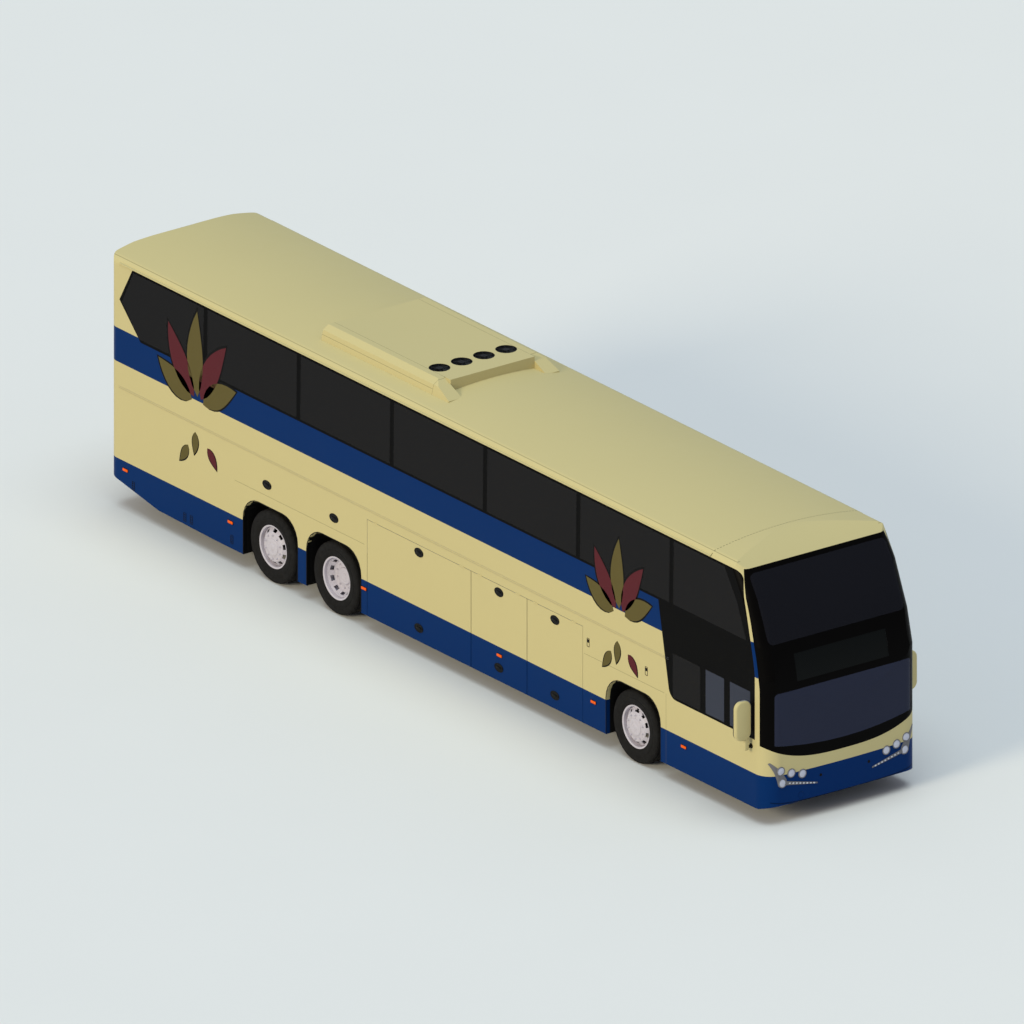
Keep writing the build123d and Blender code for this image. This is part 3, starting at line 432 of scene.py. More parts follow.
def moquette():
    """Woven seat cloth: a fine cross weave with small lighter flecks."""
    colour = (0.020, 0.032, 0.085)
    weave = Finish("seat_moquette", colour, 0.9, specular=0.2)
    weave.shader.inputs["Sheen Weight"].default_value = 0.35
    weave.shader.inputs["Sheen Roughness"].default_value = 0.5
    flecks = weave.over(weave.noise(70, 2), 0.60)
    weave.coloured(weave.mix(flecks, weave.mottled(colour, 12, 0.15), (0.100, 0.085, 0.045)))
    weave.bumped(weave.math("ADD", weave.waves(190, "X"), weave.waves(190, "Z")), 0.4, 0.0012)
    return weave.material


def lamp_lens(name, colour, ribs=60.0, gloss=0.4):
    """A lamp's glass, ribbed both ways."""
    dome = Finish(name, colour, 0.14, specular=gloss)
    dome.coloured(dome.mottled(colour, 25, 0.06))
    dome.bumped(dome.waves(ribs, "Z"), 0.3, 0.0012)
    dome.bumped(dome.waves(ribs, "X"), 0.2, 0.0012)
    return dome.material


def tail_lens():
    """One tall lamp stack: red over amber over white over red, each in its own field."""
    stack = Finish("tail_lens", (0.35, 0.010, 0.008), 0.14, specular=0.6, coat=0.3)
    colour = stack.mix(stack.between(stack.z, *TAIL_AMBER), (0.33, 0.010, 0.008),
                       (0.70, 0.19, 0.010))
    stack.coloured(stack.mix(stack.between(stack.z, *TAIL_WHITE), colour, (0.62, 0.62, 0.62)))
    stack.bumped(stack.waves(70, "Z"), 0.3, 0.0012)
    return stack.material


def display_matrix():
    """A dark display with its rows of unlit dots."""
    matrix = Finish("display_matrix", (0.0018, 0.0024, 0.0022), 0.3, specular=0.08)
    rows, columns = (matrix.math("SINE", matrix.times(place, DOT_WAVE))
                     for place in (matrix.z, matrix.x))
    dots = matrix.times(columns, rows)
    matrix.coloured(matrix.mix(matrix.over(dots, 0.35), (0.0014, 0.0017, 0.0017),
                               (0.0050, 0.0068, 0.0062)))
    matrix.bumped(dots, 0.2, 0.0006)
    return matrix.material


TAIL_AMBER = (1.370, 1.600)
TAIL_WHITE = (1.170, 1.345)
DOT_WAVE = 209.0          # radians a metre, for a dot every 30 mm
WHEEL_SILVER = (0.54, 0.50, 0.555)
CASTING = (0.045, 0.043, 0.042)
SILVERING = (0.62, 0.64, 0.66)

paint = {"panel": sprayed("coach_paint", livery), "side": sprayed("side_paint", side_colours),
         "front": sprayed("front_paint", front_colours),
         "rear": sprayed("rear_paint", rear_colours),
         "roof": sprayed("roof_paint", roof_colours),
         "pod": sprayed("pod_paint", pod_colours, lined=False),
         "bumper": sprayed("bumper_paint", bumper_colours)}
glass_side = tinted_glass("side_glass", DARK_PANE, 0.96, LIGHT_PANE)
glass_cab = tinted_glass("cab_glass", LIGHT_PANE, 0.92)
glass_upper = tinted_glass("upper_screen_glass", (0.0075, 0.0075, 0.0105), 0.96)
glass_lower = tinted_glass("lower_screen_glass", (0.022, 0.026, 0.050), 0.93)
black = even_finish("gloss_black_trim", BLACK, 0.2, (8, 0.15), ((240, 2), 0.05, 0.0004),
                    (20, 0.16, 0.30), specular=0.1)
rubber = moulded("seal_rubber", (0.0055, 0.0053, 0.0053), 0.7, gloss=0.12)
tyre_finish = tyre_rubber()
wheel_finish = even_finish("wheel_paint", WHEEL_SILVER, 0.42, (14, 0.05, 5),
                           ((300, 2), 0.08, 0.0005), (18, 0.34, 0.50), specular=0.3)
chrome = bare_steel("bright_chrome", (0.62, 0.62, 0.64), 0.2)
steel = bare_steel("plain_steel", (0.30, 0.30, 0.31), 0.38)
iron = even_finish("cast_iron", CASTING, 0.7, (20, 0.25, 5), ((180, 5), 0.5, 0.0015),
                   (12, 0.60, 0.82), metallic=0.4)
chassis_finish = frame_paint()
vinyl = floor_vinyl()
cloth = moquette()
lens = lamp_lens("headlamp_lens", (0.55, 0.56, 0.66))
red_lens = tail_lens()
amber_lens = lamp_lens("marker_lens", (0.88, 0.11, 0.002), 90.0, 0.12)
display = display_matrix()
dash_plastic = moulded("dash_plastic", (0.035, 0.035, 0.038), 0.6)
dark_plastic = moulded("dark_plastic", (0.010, 0.010, 0.011), 0.5)
films = {"olive": transfer_film("olive_film", OLIVE),
         "maroon": transfer_film("maroon_film", MAROON),
         "black": transfer_film("black_film", BLACK)}
mirror_glass = even_finish("mirror_silver", SILVERING, 0.05, (3, 0.03), ((2, 1), 0.03, 0.002),
                           metallic=1.0)
grey_plastic = moulded("grey_plastic", (0.150, 0.145, 0.155), 0.5)
bright_lens = lamp_lens("running_light_lens", (0.60, 0.60, 0.66), 120.0)
red_dome = lamp_lens("red_reflector", (0.30, 0.010, 0.008), 200.0, 0.2)

# Each finish, with the CAD nodes that wear it
DRESSED = (
    (paint["roof"], ("roof", "roof_dome")), (paint["pod"], ("roof_pod",)),
    (paint["front"], ("front_panel",)), (paint["bumper"], ("front_bumper",)),
    (paint["rear"], ("rear_panel",)), (paint["side"], ("side_offside", "side_kerbside", "door")),
    (paint["panel"], ("engine_lid", "mirrors")), (glass_cab, ("door_glass",)),
    (glass_side, ("rear_glass", "glass_offside", "glass_kerbside")),
    (glass_upper, ("windscreen_upper",)), (glass_lower, ("windscreen_lower",)),
    (lens, ("headlamps",)), (red_lens, ("tail_lamps",)), (display, ("destination_display",)),
    (vinyl, ("deck", "luggage_bay", "cab_floor", "steps")), (dark_plastic, ("roof_fans",)),
    (dash_plastic, ("dash", "steering_wheel")), (rubber, ("arch_liners", "air_springs")),
    (chassis_finish, ("chassis",)), (iron, ("engine", "front_axle", "drive_axle", "tag_axle")),
    (iron, [f"knuckle_{side}" for side in SIDES]),
    (paint["panel"], [f"luggage_lid_{side}_{number}" for side in SIDES for number in (1, 2, 3)]),
)
for finish, node_names in DRESSED:
    for node_name in node_names:
        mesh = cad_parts[node_name].data
        mesh.materials.clear()
        mesh.materials.append(finish)


# ---- Shapes ----

def finished(name, bm, finish, sharp=30, body="coach_body"):
    """Make a piece of a bmesh, and let it ride on a body."""
    bmesh.ops.remove_doubles(bm, verts=bm.verts, dist=1e-5)
    bmesh.ops.recalc_face_normals(bm, faces=bm.faces)
    mesh = bpy.data.meshes.new(name)
    bm.to_mesh(mesh)
    bm.free()
    mesh.shade_smooth()
    mesh.set_sharp_from_angle(angle=math.radians(sharp))
    mesh.materials.append(finish)
    piece = bpy.data.objects.new(name, mesh)
    bpy.context.scene.collection.objects.link(piece)
    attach(piece, body)
    return piece


def rounded(bm, edges, by, segments):
    """Round some edges of a shape; an edge may be given twice."""
    bmesh.ops.bevel(bm, geom=list(dict.fromkeys(edges)), offset=by, offset_type="OFFSET",
                    segments=segments, profile=0.5, affect="EDGES", material=-1,
                    clamp_overlap=True)


def add_block(bm, low, high, round_by=0.0, segments=2, only=None):
    """A box between two corners; only = 0, 1 or 2 rounds just the edges along X, Y or Z."""
    low, high = Vector(low), Vector(high)
    verts = bmesh.ops.create_cube(bm, size=1.0)["verts"]
    bmesh.ops.scale(bm, vec=high - low, verts=verts)
    bmesh.ops.translate(bm, vec=(low + high) / 2, verts=verts)
    edges = [edge for vert in verts for edge in vert.link_edges]
    if only is not None:
        edges = [e for e in edges if abs((e.verts[0].co - e.verts[1].co).normalized()[only]) > 0.9]
    if round_by:
        rounded(bm, edges, round_by, segments)


def add_spun(bm, outline, centre, axis="X", steps=64, shut=False):
    """Spin an outline of (along the axis, radius) round an axis through centre."""
    along, out = {"X": (Vector((1, 0, 0)), Vector((0, 0, 1))),
                  "Y": (Vector((0, 1, 0)), Vector((0, 0, 1))),
                  "Z": (Vector((0, 0, 1)), Vector((1, 0, 0)))}[axis]
    centre = Vector(centre)
    verts = [bm.verts.new(centre + along * a + out * r) for a, r in outline]
    ends = verts[1:] + (verts[:1] if shut else [])
    edges = [bm.edges.new(pair) for pair in zip(verts, ends)]
    before = set(bm.verts)
    bmesh.ops.spin(bm, geom=verts + edges, cent=centre, axis=along, dvec=(0, 0, 0),
                   angle=math.tau, steps=steps, use_merge=True, use_normal_flip=False,
                   use_duplicate=False)
    made = verts + [vert for vert in bm.verts if vert not in before]
    bmesh.ops.remove_doubles(bm, verts=[v for v in made if v.is_valid], dist=1e-6)


def flipped(bm):
    """Turn a kerbside shape into its offside mirror image."""
    bmesh.ops.scale(bm, vec=(-1, 1, 1), verts=bm.verts)


def oval(centre, size, corners=16):
    """A round or oval outline."""
    return [(centre[0] + size[0] / 2 * math.cos(math.tau * i / corners),
             centre[1] + size[1] / 2 * math.sin(math.tau * i / corners)) for i in range(corners)]


def pour(part, bm):
    """Add one bmesh to another, and free it."""
    mesh = bpy.data.meshes.new("part")
    part.to_mesh(mesh)
    part.free()
    bm.from_mesh(mesh)
    bpy.data.meshes.remove(mesh)


def turned(bm, angle, axis, move):
    """Turn a shape about an axis of the frame, then move it."""
    bmesh.ops.rotate(bm, verts=bm.verts, cent=(0, 0, 0), matrix=Matrix.Rotation(angle, 3, axis))
    bmesh.ops.translate(bm, verts=bm.verts, vec=move)


# ---- Wheels: outlines of (along the axle, radius) ----

GROOVES = (0.078, 0.026, -0.026, -0.078)
GROOVE_DEEP = 0.012
TREAD_STEPS = 90
SHOULDER = (0.4970, 0.5065)
DISC_STEPS = 60
HANDHOLES = 10
SINGLE_FACE = 1.232       # outer face of a single wheel's disc
TWIN_FACE = 1.078         # and of an outer twin's, deep inside its flange
TWIN_LIP = 1.230


def around_axle(face, axle):
    """A face's radius from an axle and its turn round it, from 0 to 1."""
    mid = face.calc_center_median() - Vector((0, axle, TYRE_R))
    return math.hypot(mid.y, mid.z), math.atan2(mid.z, mid.y) % math.tau / math.tau


def tyre_outline(width):
    """The section of a road tyre, bead to bead, with four grooves round its tread."""
    half = width / 2
    wall = [(half - 0.040, 0.286), (half - 0.026, 0.296), (half - 0.014, 0.318),
            (half - 0.003, 0.350), (half, 0.378), (half, 0.402), (half - 0.004, 0.405),
            (half - 0.002, 0.412), (half - 0.005, 0.455), (half - 0.012, 0.482),
            (half - 0.017, 0.486), (half - 0.020, 0.496), (half - 0.034, 0.5075)]
    outline = list(wall)
    for mid in GROOVES:
        outline += [(mid + 0.006, TYRE_R), (mid + 0.004, TYRE_R - GROOVE_DEEP),
                    (mid - 0.004, TYRE_R - GROOVE_DEEP), (mid - 0.006, TYRE_R)]
    return outline + [(-a, r) for a, r in reversed(wall)]


def add_tyre(bm, middle, axle, width):
    add_spun(bm, tyre_outline(width), (middle, axle, TYRE_R), steps=TREAD_STEPS, shut=True)


def notch_shoulders(bm, axle):
    """Press short slots into the shoulders of a tyre, one face in three."""
    slots = []
    for face in bm.faces:
        radius, turn = around_axle(face, axle)
        if SHOULDER[0] < radius < SHOULDER[1] and round(turn * TREAD_STEPS - 0.5) % 3 == 0:
            slots.append(face)
    bmesh.ops.inset_individual(bm, faces=slots, thickness=0.003, depth=-0.006)


def add_barrel(bm, low, high, axle):
    """The rolled barrel of one rim, between its two flanges."""
    outline = [(low, 0.302), (low + 0.010, 0.306), (low + 0.016, 0.300), (low + 0.020, 0.288),
               (low + 0.075, 0.285), (high - 0.075, 0.285), (high - 0.020, 0.288),
               (high - 0.016, 0.300), (high - 0.010, 0.306), (high, 0.302), (high, 0.292),
               (high - 0.008, 0.280), (high - 0.075, 0.275), (low + 0.075, 0.275),
               (low + 0.008, 0.280), (low, 0.292)]
    add_spun(bm, outline, (0, axle, TYRE_R), steps=72, shut=True)


def add_disc(bm, outline, hole_rows, axle, thickness=0.010):
    """A pressed wheel disc; the rows between hole_rows are opened ten times round."""
    sheet = bmesh.new()
    add_spun(sheet, outline, (0, axle, TYRE_R), steps=DISC_STEPS)
    gone = []
    for face in sheet.faces:
        radius, turn = around_axle(face, axle)
        if hole_rows[0] < radius < hole_rows[1] and 0.25 < turn * HANDHOLES % 1 < 0.75:
            gone.append(face)
    bmesh.ops.delete(sheet, geom=gone, context="FACES")
    bmesh.ops.recalc_face_normals(sheet, faces=sheet.faces)
    bmesh.ops.solidify(sheet, geom=sheet.faces[:], thickness=thickness)
    pour(sheet, bm)


def add_nuts(bm, face_x, axle):
    """Wheel nuts on their washers, with the studs' ends."""
    for number in range(NUTS):
        turn = math.tau * (number + 0.5) / NUTS
        centre = (0, axle + NUT_CIRCLE * math.cos(turn), TYRE_R + NUT_CIRCLE * math.sin(turn))
        add_spun(bm, [(face_x - 0.002, 0.0), (face_x - 0.002, 0.019), (face_x + 0.004, 0.019),
                      (face_x + 0.005, 0.016), (face_x + 0.022, 0.015), (face_x + 0.024, 0.012),
                      (face_x + 0.024, 0.009), (face_x + 0.034, 0.008), (face_x + 0.035, 0.0)],
                 centre, steps=6)


def cone_rows(start, end, shares=(0.0, 0.14, 0.5, 0.86, 1.0)):
    return [tuple(s + (e - s) * share for s, e in zip(start, end)) for share in shares]


def flat_wheel(bm, axle):
    """A single wheel: its disc stands outboard, nearly flush with the flange."""
    face = SINGLE_FACE
    add_barrel(bm, 1.000, face, axle)
    cone = cone_rows((face - 0.052, 0.262), (face - 0.006, 0.203))
    outline = [(face - 0.075, 0.276), (face - 0.060, 0.270)] + cone + [
        (face, 0.196), (face + 0.001, 0.188), (face + 0.001, 0.125), (face + 0.006, 0.118)]
    add_disc(bm, outline, (0.212, 0.254), axle)


def flat_hub(bm, axle):
    face = SINGLE_FACE
    add_spun(bm, [(face - 0.02, 0.119), (face + 0.010, 0.118), (face + 0.014, 0.112),
                  (face + 0.015, 0.075), (face + 0.011, 0.071), (face + 0.011, 0.046),
                  (face + 0.014, 0.042), (face + 0.017, 0.036), (face + 0.018, 0.0)],
             (0, axle, TYRE_R), steps=48)
    add_nuts(bm, face - 0.008, axle)


def twin_wheel(bm, axle):
    """Two wheels back to back: the outer one's disc lies deep inside its flange."""
    lip, face = TWIN_LIP, TWIN_FACE
    add_barrel(bm, 0.660, 0.885, axle)
    add_barrel(bm, 0.945, lip, axle)
    cone = cone_rows((lip - 0.075, 0.262), (face + 0.018, 0.222))
    outline = [(lip - 0.050, 0.276), (lip - 0.060, 0.270)] + cone + [
        (face + 0.004, 0.212), (face, 0.200), (face, 0.125), (face + 0.005, 0.118)]
    add_disc(bm, outline, (0.226, 0.2575), axle)


def twin_hub(bm, axle):
    face = TWIN_FACE
    add_spun(bm, [(face - 0.20, 0.150), (face - 0.01, 0.150), (face - 0.01, 0.119),
                  (face + 0.020, 0.118), (face + 0.026, 0.110), (face + 0.027, 0.075),
                  (face + 0.023, 0.070), (face + 0.023, 0.045), (face + 0.028, 0.040),
                  (face + 0.029, 0.0)], (0, axle, TYRE_R), steps=48)
    add_nuts(bm, face, axle)


def single_tyre(bm, axle):
    add_tyre(bm, TRACK_OUT - TYRE_W / 2, axle, TYRE_W)
    notch_shoulders(bm, axle)


def twin_tyres(bm, axle):
    add_tyre(bm, TRACK_OUT - TWIN_W / 2, axle, TWIN_W)
    add_tyre(bm, TWIN_IN + TWIN_W / 2, axle, TWIN_W)
    notch_shoulders(bm, axle)


def make_wheels():
    for side, sign in SIDES.items():
        for label, axle in AXLES.items():
            body = f"wheel_{label}_{side}"
            twin = label == "drive"
            shapes = (twin_tyres, twin_wheel, twin_hub) if twin else (single_tyre, flat_wheel,
                                                                      flat_hub)
            tread, disc, centre = (bmesh.new() for _ in shapes)
            for shape, bm in zip(shapes, (tread, disc, centre)):
                shape(bm, axle)
                if sign < 0:
                    flipped(bm)
            tyre = finished(f"treaded_tyre_{label}_{side}", tread, tyre_finish, body=body)
            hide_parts(f"tyres_drive_{side}" if twin else f"tyre_{label}_{side}")
            wheel = finished(f"pressed_wheel_{label}_{side}", disc, wheel_finish, 40, body)
            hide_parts(f"rim_{label}_{side}")
            finished(f"hub_{label}_{side}", centre, wheel_finish, body=body)


# ---- Plates that follow the coach's surfaces ----

def flank(height):
    """Half width of the coach at a height."""
    return HALF_W - LEAN[0] * max(0.0, height - WAIST) / (LEAN[1] - WAIST)


def on_side(sign):
    """Outlines of (Y, Z) on one side of the coach."""
    def place(y, z):
        return Vector((sign * flank(z), y, z)), Vector((sign, 0, 0))
    return place


def on_nose(x, z):
    """Outlines of (X, Z) low on the nose: a gentle bow with round corners."""
    sideways = abs(x) - NOSE_CORNER[0]
    if sideways < 0.018:
        return Vector((x, -HALF_L + NOSE_BOW * (x / HALF_W) ** 2, z)), Vector((0, -1, 0))
    sideways = min(sideways, NOSE_ROUND * 0.98)
    ahead = math.sqrt(NOSE_ROUND ** 2 - sideways ** 2)
    out = Vector((math.copysign(sideways, x), -ahead, 0)) / NOSE_ROUND
    return Vector((x, NOSE_CORNER[1] - ahead, z)), out


def on_tail(x, z):
    """Outlines of (X, Z) on the bowed tail."""
    return Vector((x, HALF_L - TAIL_BOW * (x / HALF_W) ** 2, z)), Vector((0, 1, 0))


def add_plate(bm, outline, place, proud, sunk=0.002, soften=0.0, pan=None, hollow=0.0, cuts=()):
    """A plate of a flat outline, bent onto a surface of the coach.

    soften rounds its outer rim, pan = (margin, depth) presses its middle in, hollow leaves only a
    rim of that width, and cuts are (axis, place) pairs where it has to bend."""
    part = bmesh.new()
    whole = part.faces.new([part.verts.new((u, v, -sunk)) for u, v in outline])
    if hollow:
        part.normal_update()
        bmesh.ops.inset_region(part, faces=[whole], thickness=hollow, use_boundary=True,
                               use_even_offset=True)
        bmesh.ops.delete(part, geom=[whole], context="FACES")
    for axis, cut in cuts:
        point, normal = Vector((0, 0, 0)), Vector((0, 0, 0))
        point[axis], normal[axis] = cut, 1.0
        bmesh.ops.bisect_plane(part, geom=part.verts[:] + part.edges[:] + part.faces[:], dist=1e-5,
                               plane_co=point, plane_no=normal)
    made = bmesh.ops.extrude_face_region(part, geom=part.faces[:])["geom"]
    raised = {item for item in made if isinstance(item, bmesh.types.BMVert)}
    bmesh.ops.translate(part, vec=(0, 0, proud + sunk), verts=list(raised))
    bmesh.ops.recalc_face_normals(part, faces=part.faces)
    lid = [face for face in part.faces if all(vert in raised for vert in face.verts)]
    if pan:
        bmesh.ops.inset_region(part, faces=lid, thickness=pan[0], depth=0.0, use_even_offset=True)
        bmesh.ops.inset_region(part, faces=lid, thickness=pan[1] * 0.4, depth=-pan[1],
                               use_even_offset=True)
    if soften:
        rim = [edge for edge in part.edges if all(vert in raised for vert in edge.verts)
               and any(not all(vert in raised for vert in face.verts) and
                       any(vert.co.z < 0 for vert in face.verts) for face in edge.link_faces)]
        rounded(part, rim, soften, 2)
    for vert in part.verts:
        point, out = place(vert.co.x, vert.co.y)
        vert.co = point + out * vert.co.z
    pour(part, bm)


def slab(middle, size, rounding=0.0, steps=3):
    """A rectangle with round corners, given by its middle and size."""
    u, v = middle
    a, b = size[0] / 2, size[1] / 2
    if not rounding:
        return [(u - a, v - b), (u + a, v - b), (u + a, v + b), (u - a, v + b)]
    corners = ((1, 1, 0.0), (-1, 1, 0.25), (-1, -1, 0.5), (1, -1, 0.75))
    outline = []
    for right, up, turn in corners:
        centre = (u + right * (a - rounding), v + up * (b - rounding))
        for step in range(steps + 1):
            angle = math.tau * (turn + 0.25 * step / steps)
            outline.append((centre[0] + rounding * math.cos(angle),
                            centre[1] + rounding * math.sin(angle)))
    return outline


def add_fitting(bm, place, middle, plates, lift=0.0):
    """Plates one on another round one middle, each stood lift further out."""
    for (along, up), size, corner, proud, soften, pan in plates:
        spot = (middle[0] + along, middle[1] + up)
        outline = oval(spot, size, corner) if isinstance(corner, int) else slab(spot, size, corner)
        add_plate(bm, outline, place, lift + proud, soften=soften, pan=pan)


# Each plate of a fitting: its offset, its size, its corners' radius or else how many corners its
# oval has, how proud it stands, how soft its rim is, and the margin and depth of its pressed middle
LOCK = (((0, 0), (0.200, 0.127), 28, 0.0040, 0.0012, (0.007, 0.0028)),
        ((0.012, 0), (0.104, 0.030), 0.012, 0.0062, 0.0015, None),
        ((-0.062, 0), (0.034, 0.034), 16, 0.0058, 0.0010, (0.006, 0.0015)))
HATCH_PULL = (((0, 0), (0.058, 0.125), 0.012, 0.0030, 0.0010, (0.006, 0.0042)),
              ((0, 0.022), (0.036, 0.046), 0.006, 0.0045, 0.0010, None))
DRAIN_VENT = (((0, 0), (0.060, 0.125), 0.008, 0.0030, 0.0010, (0.006, 0.0035)),
              *(((0, up), (0.044, 0.009), 0.0, 0.0024, 0.0, None) for up in (-0.032, 0, 0.032)))
MARKER_BED = (((0, 0), (0.128, 0.052), 0.010, 0.0040, 0.0012, None),)
MARKER = (((0, 0), (0.110, 0.038), 0.008, 0.0110, 0.0050, None),)
RUNNING_LIGHT = (((0, 0), (0.030, 0.022), 12, 0.0085, 0.0020, None),)
NOSE_CAP = (((0, 0), (0.040, 0.040), 20, 0.0030, 0.0010, (0.006, 0.0015)),)
TOW_CAP = (((0, 0), (0.092, 0.092), 32, 0.0015, 0.0008, (0.004, 0.0008)),)
REFLECTOR = (((0, 0), (0.074, 0.074), 28, 0.0080, 0.0030, None),)
REFLECTOR_RIM = (((0, 0), (0.094, 0.094), 28, 0.0040, 0.0010, None),)
LID_RECESS = (((0, 0.005), (0.340, 0.074), 0.016, 0.0020, 0.0008, (0.008, 0.0015)),)
LID_BAR = (((0, 0.010), (0.250, 0.026), 0.010, 0.0045, 0.0020, None),)
PLATE_RECESS = (((0, 0), (0.600, 0.150), 0.018, 0.0020, 0.0008, (0.012, 0.0015)),)
DOOR_HANDLE = (((0, 0), (0.085, 0.190), 0.020, 0.0035, 0.0012, (0.008, 0.0030)),
               ((0, 0.010), (0.040, 0.120), 0.012, 0.0080, 0.0030, None))


# ---- Side fittings ----

LID_LOCKS = {3: 0.405, 2: -1.374, 1: -2.620}      # lid: place along the coach
LOCK_HEIGHTS = (1.500, 0.416)
BODY_LOCKS = ((3.785, 1.390), (2.296, 1.390))
PULLS = ((-3.360, 1.414), (-4.654, 1.418))
VENTS = ((6.755, 0.424), (5.610, 0.345), (5.465, 0.348), (4.564, 0.357))
MARKERS = {6.933: None, 4.597: None, 1.628: None, -1.386: 2, -3.477: None, -5.486: None}
MARKER_Z = 0.595


def arch_band(axle, inner, outer, steps=6):
    """The outline of a wheel arch's lip, between two distances out from the arch."""
    rows = []
    for grow in (inner, outer):
        half, head, turn = (size + grow for size in ARCH)
        row = [(axle + half, FOOT_Z)]
        for step in range(steps + 1):
            angle = math.tau / 4 * step / steps
            row.append((axle + half - turn + turn * math.cos(angle),
                        head - turn + turn * math.sin(angle)))
        row += [(2 * axle - y, z) for y, z in reversed(row)]
        rows.append(row)
    return rows[1] + rows[0][::-1]


def make_side_fittings():
    for side, sign in SIDES.items():
        place = on_side(sign)
        bodies = {number: f"luggage_lid_{side}_{number}" for number in LID_LOCKS}
        bodies[None] = "coach_body"
        groups = {number: bmesh.new() for number in (1, 2, 3, None)}
        for number, y in LID_LOCKS.items():
            for z in LOCK_HEIGHTS:
                add_fitting(groups[number], place, (y, z), LOCK)
        for spots, plates in ((BODY_LOCKS, LOCK), (PULLS, HATCH_PULL), (VENTS, DRAIN_VENT)):
            for spot in spots:
                add_fitting(groups[None], place, spot, plates)
        for number, bm in groups.items():
            finished(f"black_fittings_{side}_{number or 'wall'}", bm, black,
                     body=bodies[number])
        for number in (None, 2):
            bed, lamp = bmesh.new(), bmesh.new()
            for y in [y for y, lid in MARKERS.items() if lid == number]:
                add_fitting(bed, place, (y, MARKER_Z), MARKER_BED)
                add_fitting(lamp, place, (y, MARKER_Z), MARKER)
            finished(f"marker_beds_{side}_{number or 'wall'}", bed, black,
                     body=bodies[number])
            finished(f"markers_{side}_{number or 'wall'}", lamp, amber_lens,
                     body=bodies[number])
        bm = bmesh.new()
        for axle in AXLES.values():
            add_plate(bm, arch_band(axle, 0.0, ARCH_LIP), place, 0.0022, soften=0.0008)
        finished(f"arch_lips_{side}", bm, rubber)


# ---- Nose: lamps, strakes and caps ----

NOSE_LAMPS = {"outer": (1.043, 0.775, 0.055), "middle": (0.875, 0.717, 0.055),
              "inner": (0.698, 0.672, 0.055), "fog": (1.015, 0.602, 0.058)}
STRAKE_TIP = (1.194, 0.905)
STRAKE_END = (0.455, 0.489)
STRAKE_BENDS = (0.60, 0.75, 0.90, 1.03, 1.06, 1.09, 1.12, 1.15, 1.18)
RUNNING_LIGHTS = 8
NOSE_CAPS = (0.400, 0.586)
TOW_EYE = (-0.720, 0.370)


def tapered(start, end, widths, bow=0.0, steps=8):
    """The outline of a bar from start to end, tapering, its middle bowed to one side."""
    start, end = Vector(start), Vector(end)
    along = (end - start).normalized()
    across = Vector((-along.y, along.x))
    left, right = [], []
    for step in range(steps + 1):
        share = step / steps
        middle = start.lerp(end, share) + across * bow * math.sin(math.pi * share)
        half = (widths[0] + (widths[1] - widths[0]) * share) / 2
        left.append(tuple(middle + across * half))
        right.append(tuple(middle - across * half))
    return left + right[::-1]


def make_nose():
    bezels, lenses, strakes, lights, caps = (bmesh.new() for _ in range(5))
    for sign in (-1, 1):
        for x, z, radius in NOSE_LAMPS.values():
            centre, _ = on_nose(sign * x, z)
            add_spun(bezels, [(0.004, radius + 0.011), (-0.006, radius + 0.010),
                              (-0.010, radius + 0.006), (-0.010, radius + 0.001),
                              (-0.004, radius - 0.003), (0.004, radius - 0.003)],
                     centre, axis="Y", steps=36, shut=True)
            dome = [(-0.0045, radius - 0.0015), (-0.0065, radius * 0.86), (-0.0100, radius * 0.60),
                    (-0.0118, radius * 0.30), (-0.0122, 0.0)]
            add_spun(lenses, dome + [(0.0, 0.0), (0.0, radius - 0.0015)], centre, axis="Y",
                     steps=36)
        fog = (sign * NOSE_LAMPS["fog"][0], NOSE_LAMPS["fog"][1])
        tip = (sign * STRAKE_TIP[0], STRAKE_TIP[1])
        end = (sign * STRAKE_END[0], STRAKE_END[1])
        cuts = [(0, sign * x) for x in STRAKE_BENDS]
        add_plate(strakes, tapered(fog, tip, (0.150, 0.026), sign * 0.018), on_nose, 0.006,
                  soften=0.0022, cuts=cuts)
        add_plate(strakes, tapered(fog, end, (0.060, 0.018)), on_nose, 0.006, soften=0.0022,
                  cuts=cuts)
        for number in range(RUNNING_LIGHTS):
            spot = Vector(fog).lerp(Vector(end), 0.20 + 0.70 * number / (RUNNING_LIGHTS - 1))
            add_fitting(lights, on_nose, spot, RUNNING_LIGHT)
        add_fitting(caps, on_nose, (sign * NOSE_CAPS[0], NOSE_CAPS[1]), NOSE_CAP)
    finished("lamp_bezels", bezels, grey_plastic, 40)
    finished("lamp_domes", lenses, lens, 50)
    finished("lamp_strakes", strakes, grey_plastic)
    finished("running_lights", lights, bright_lens)
    finished("nose_caps", caps, black)
    bm = bmesh.new()
    add_fitting(bm, on_nose, TOW_EYE, TOW_CAP)
    finished("tow_eye_cap", bm, paint["panel"])


# ---- Mirrors ----

MIRROR_Y = {"offside": -6.985, "kerbside": -6.860}
MIRROR_DEEP = 0.044
MIRROR_CORNER_STEPS = 6


def add_cased(bm, low, high, corner, rim, segments=MIRROR_CORNER_STEPS):
    """A moulded case: large round corners seen from the front, and a soft rim round both faces."""
    before = set(bm.verts)
    add_block(bm, low, high, corner, segments, only=1)
    verts = [vert for vert in bm.verts if vert not in before]
    depth = (low[1], high[1])
    rims = [edge for vert in verts for edge in vert.link_edges
            if abs(edge.verts[0].co.y - edge.verts[1].co.y) < 1e-5
            and min(abs(edge.verts[0].co.y - d) for d in depth) < 1e-5]
    rounded(bm, rims, rim, 3)


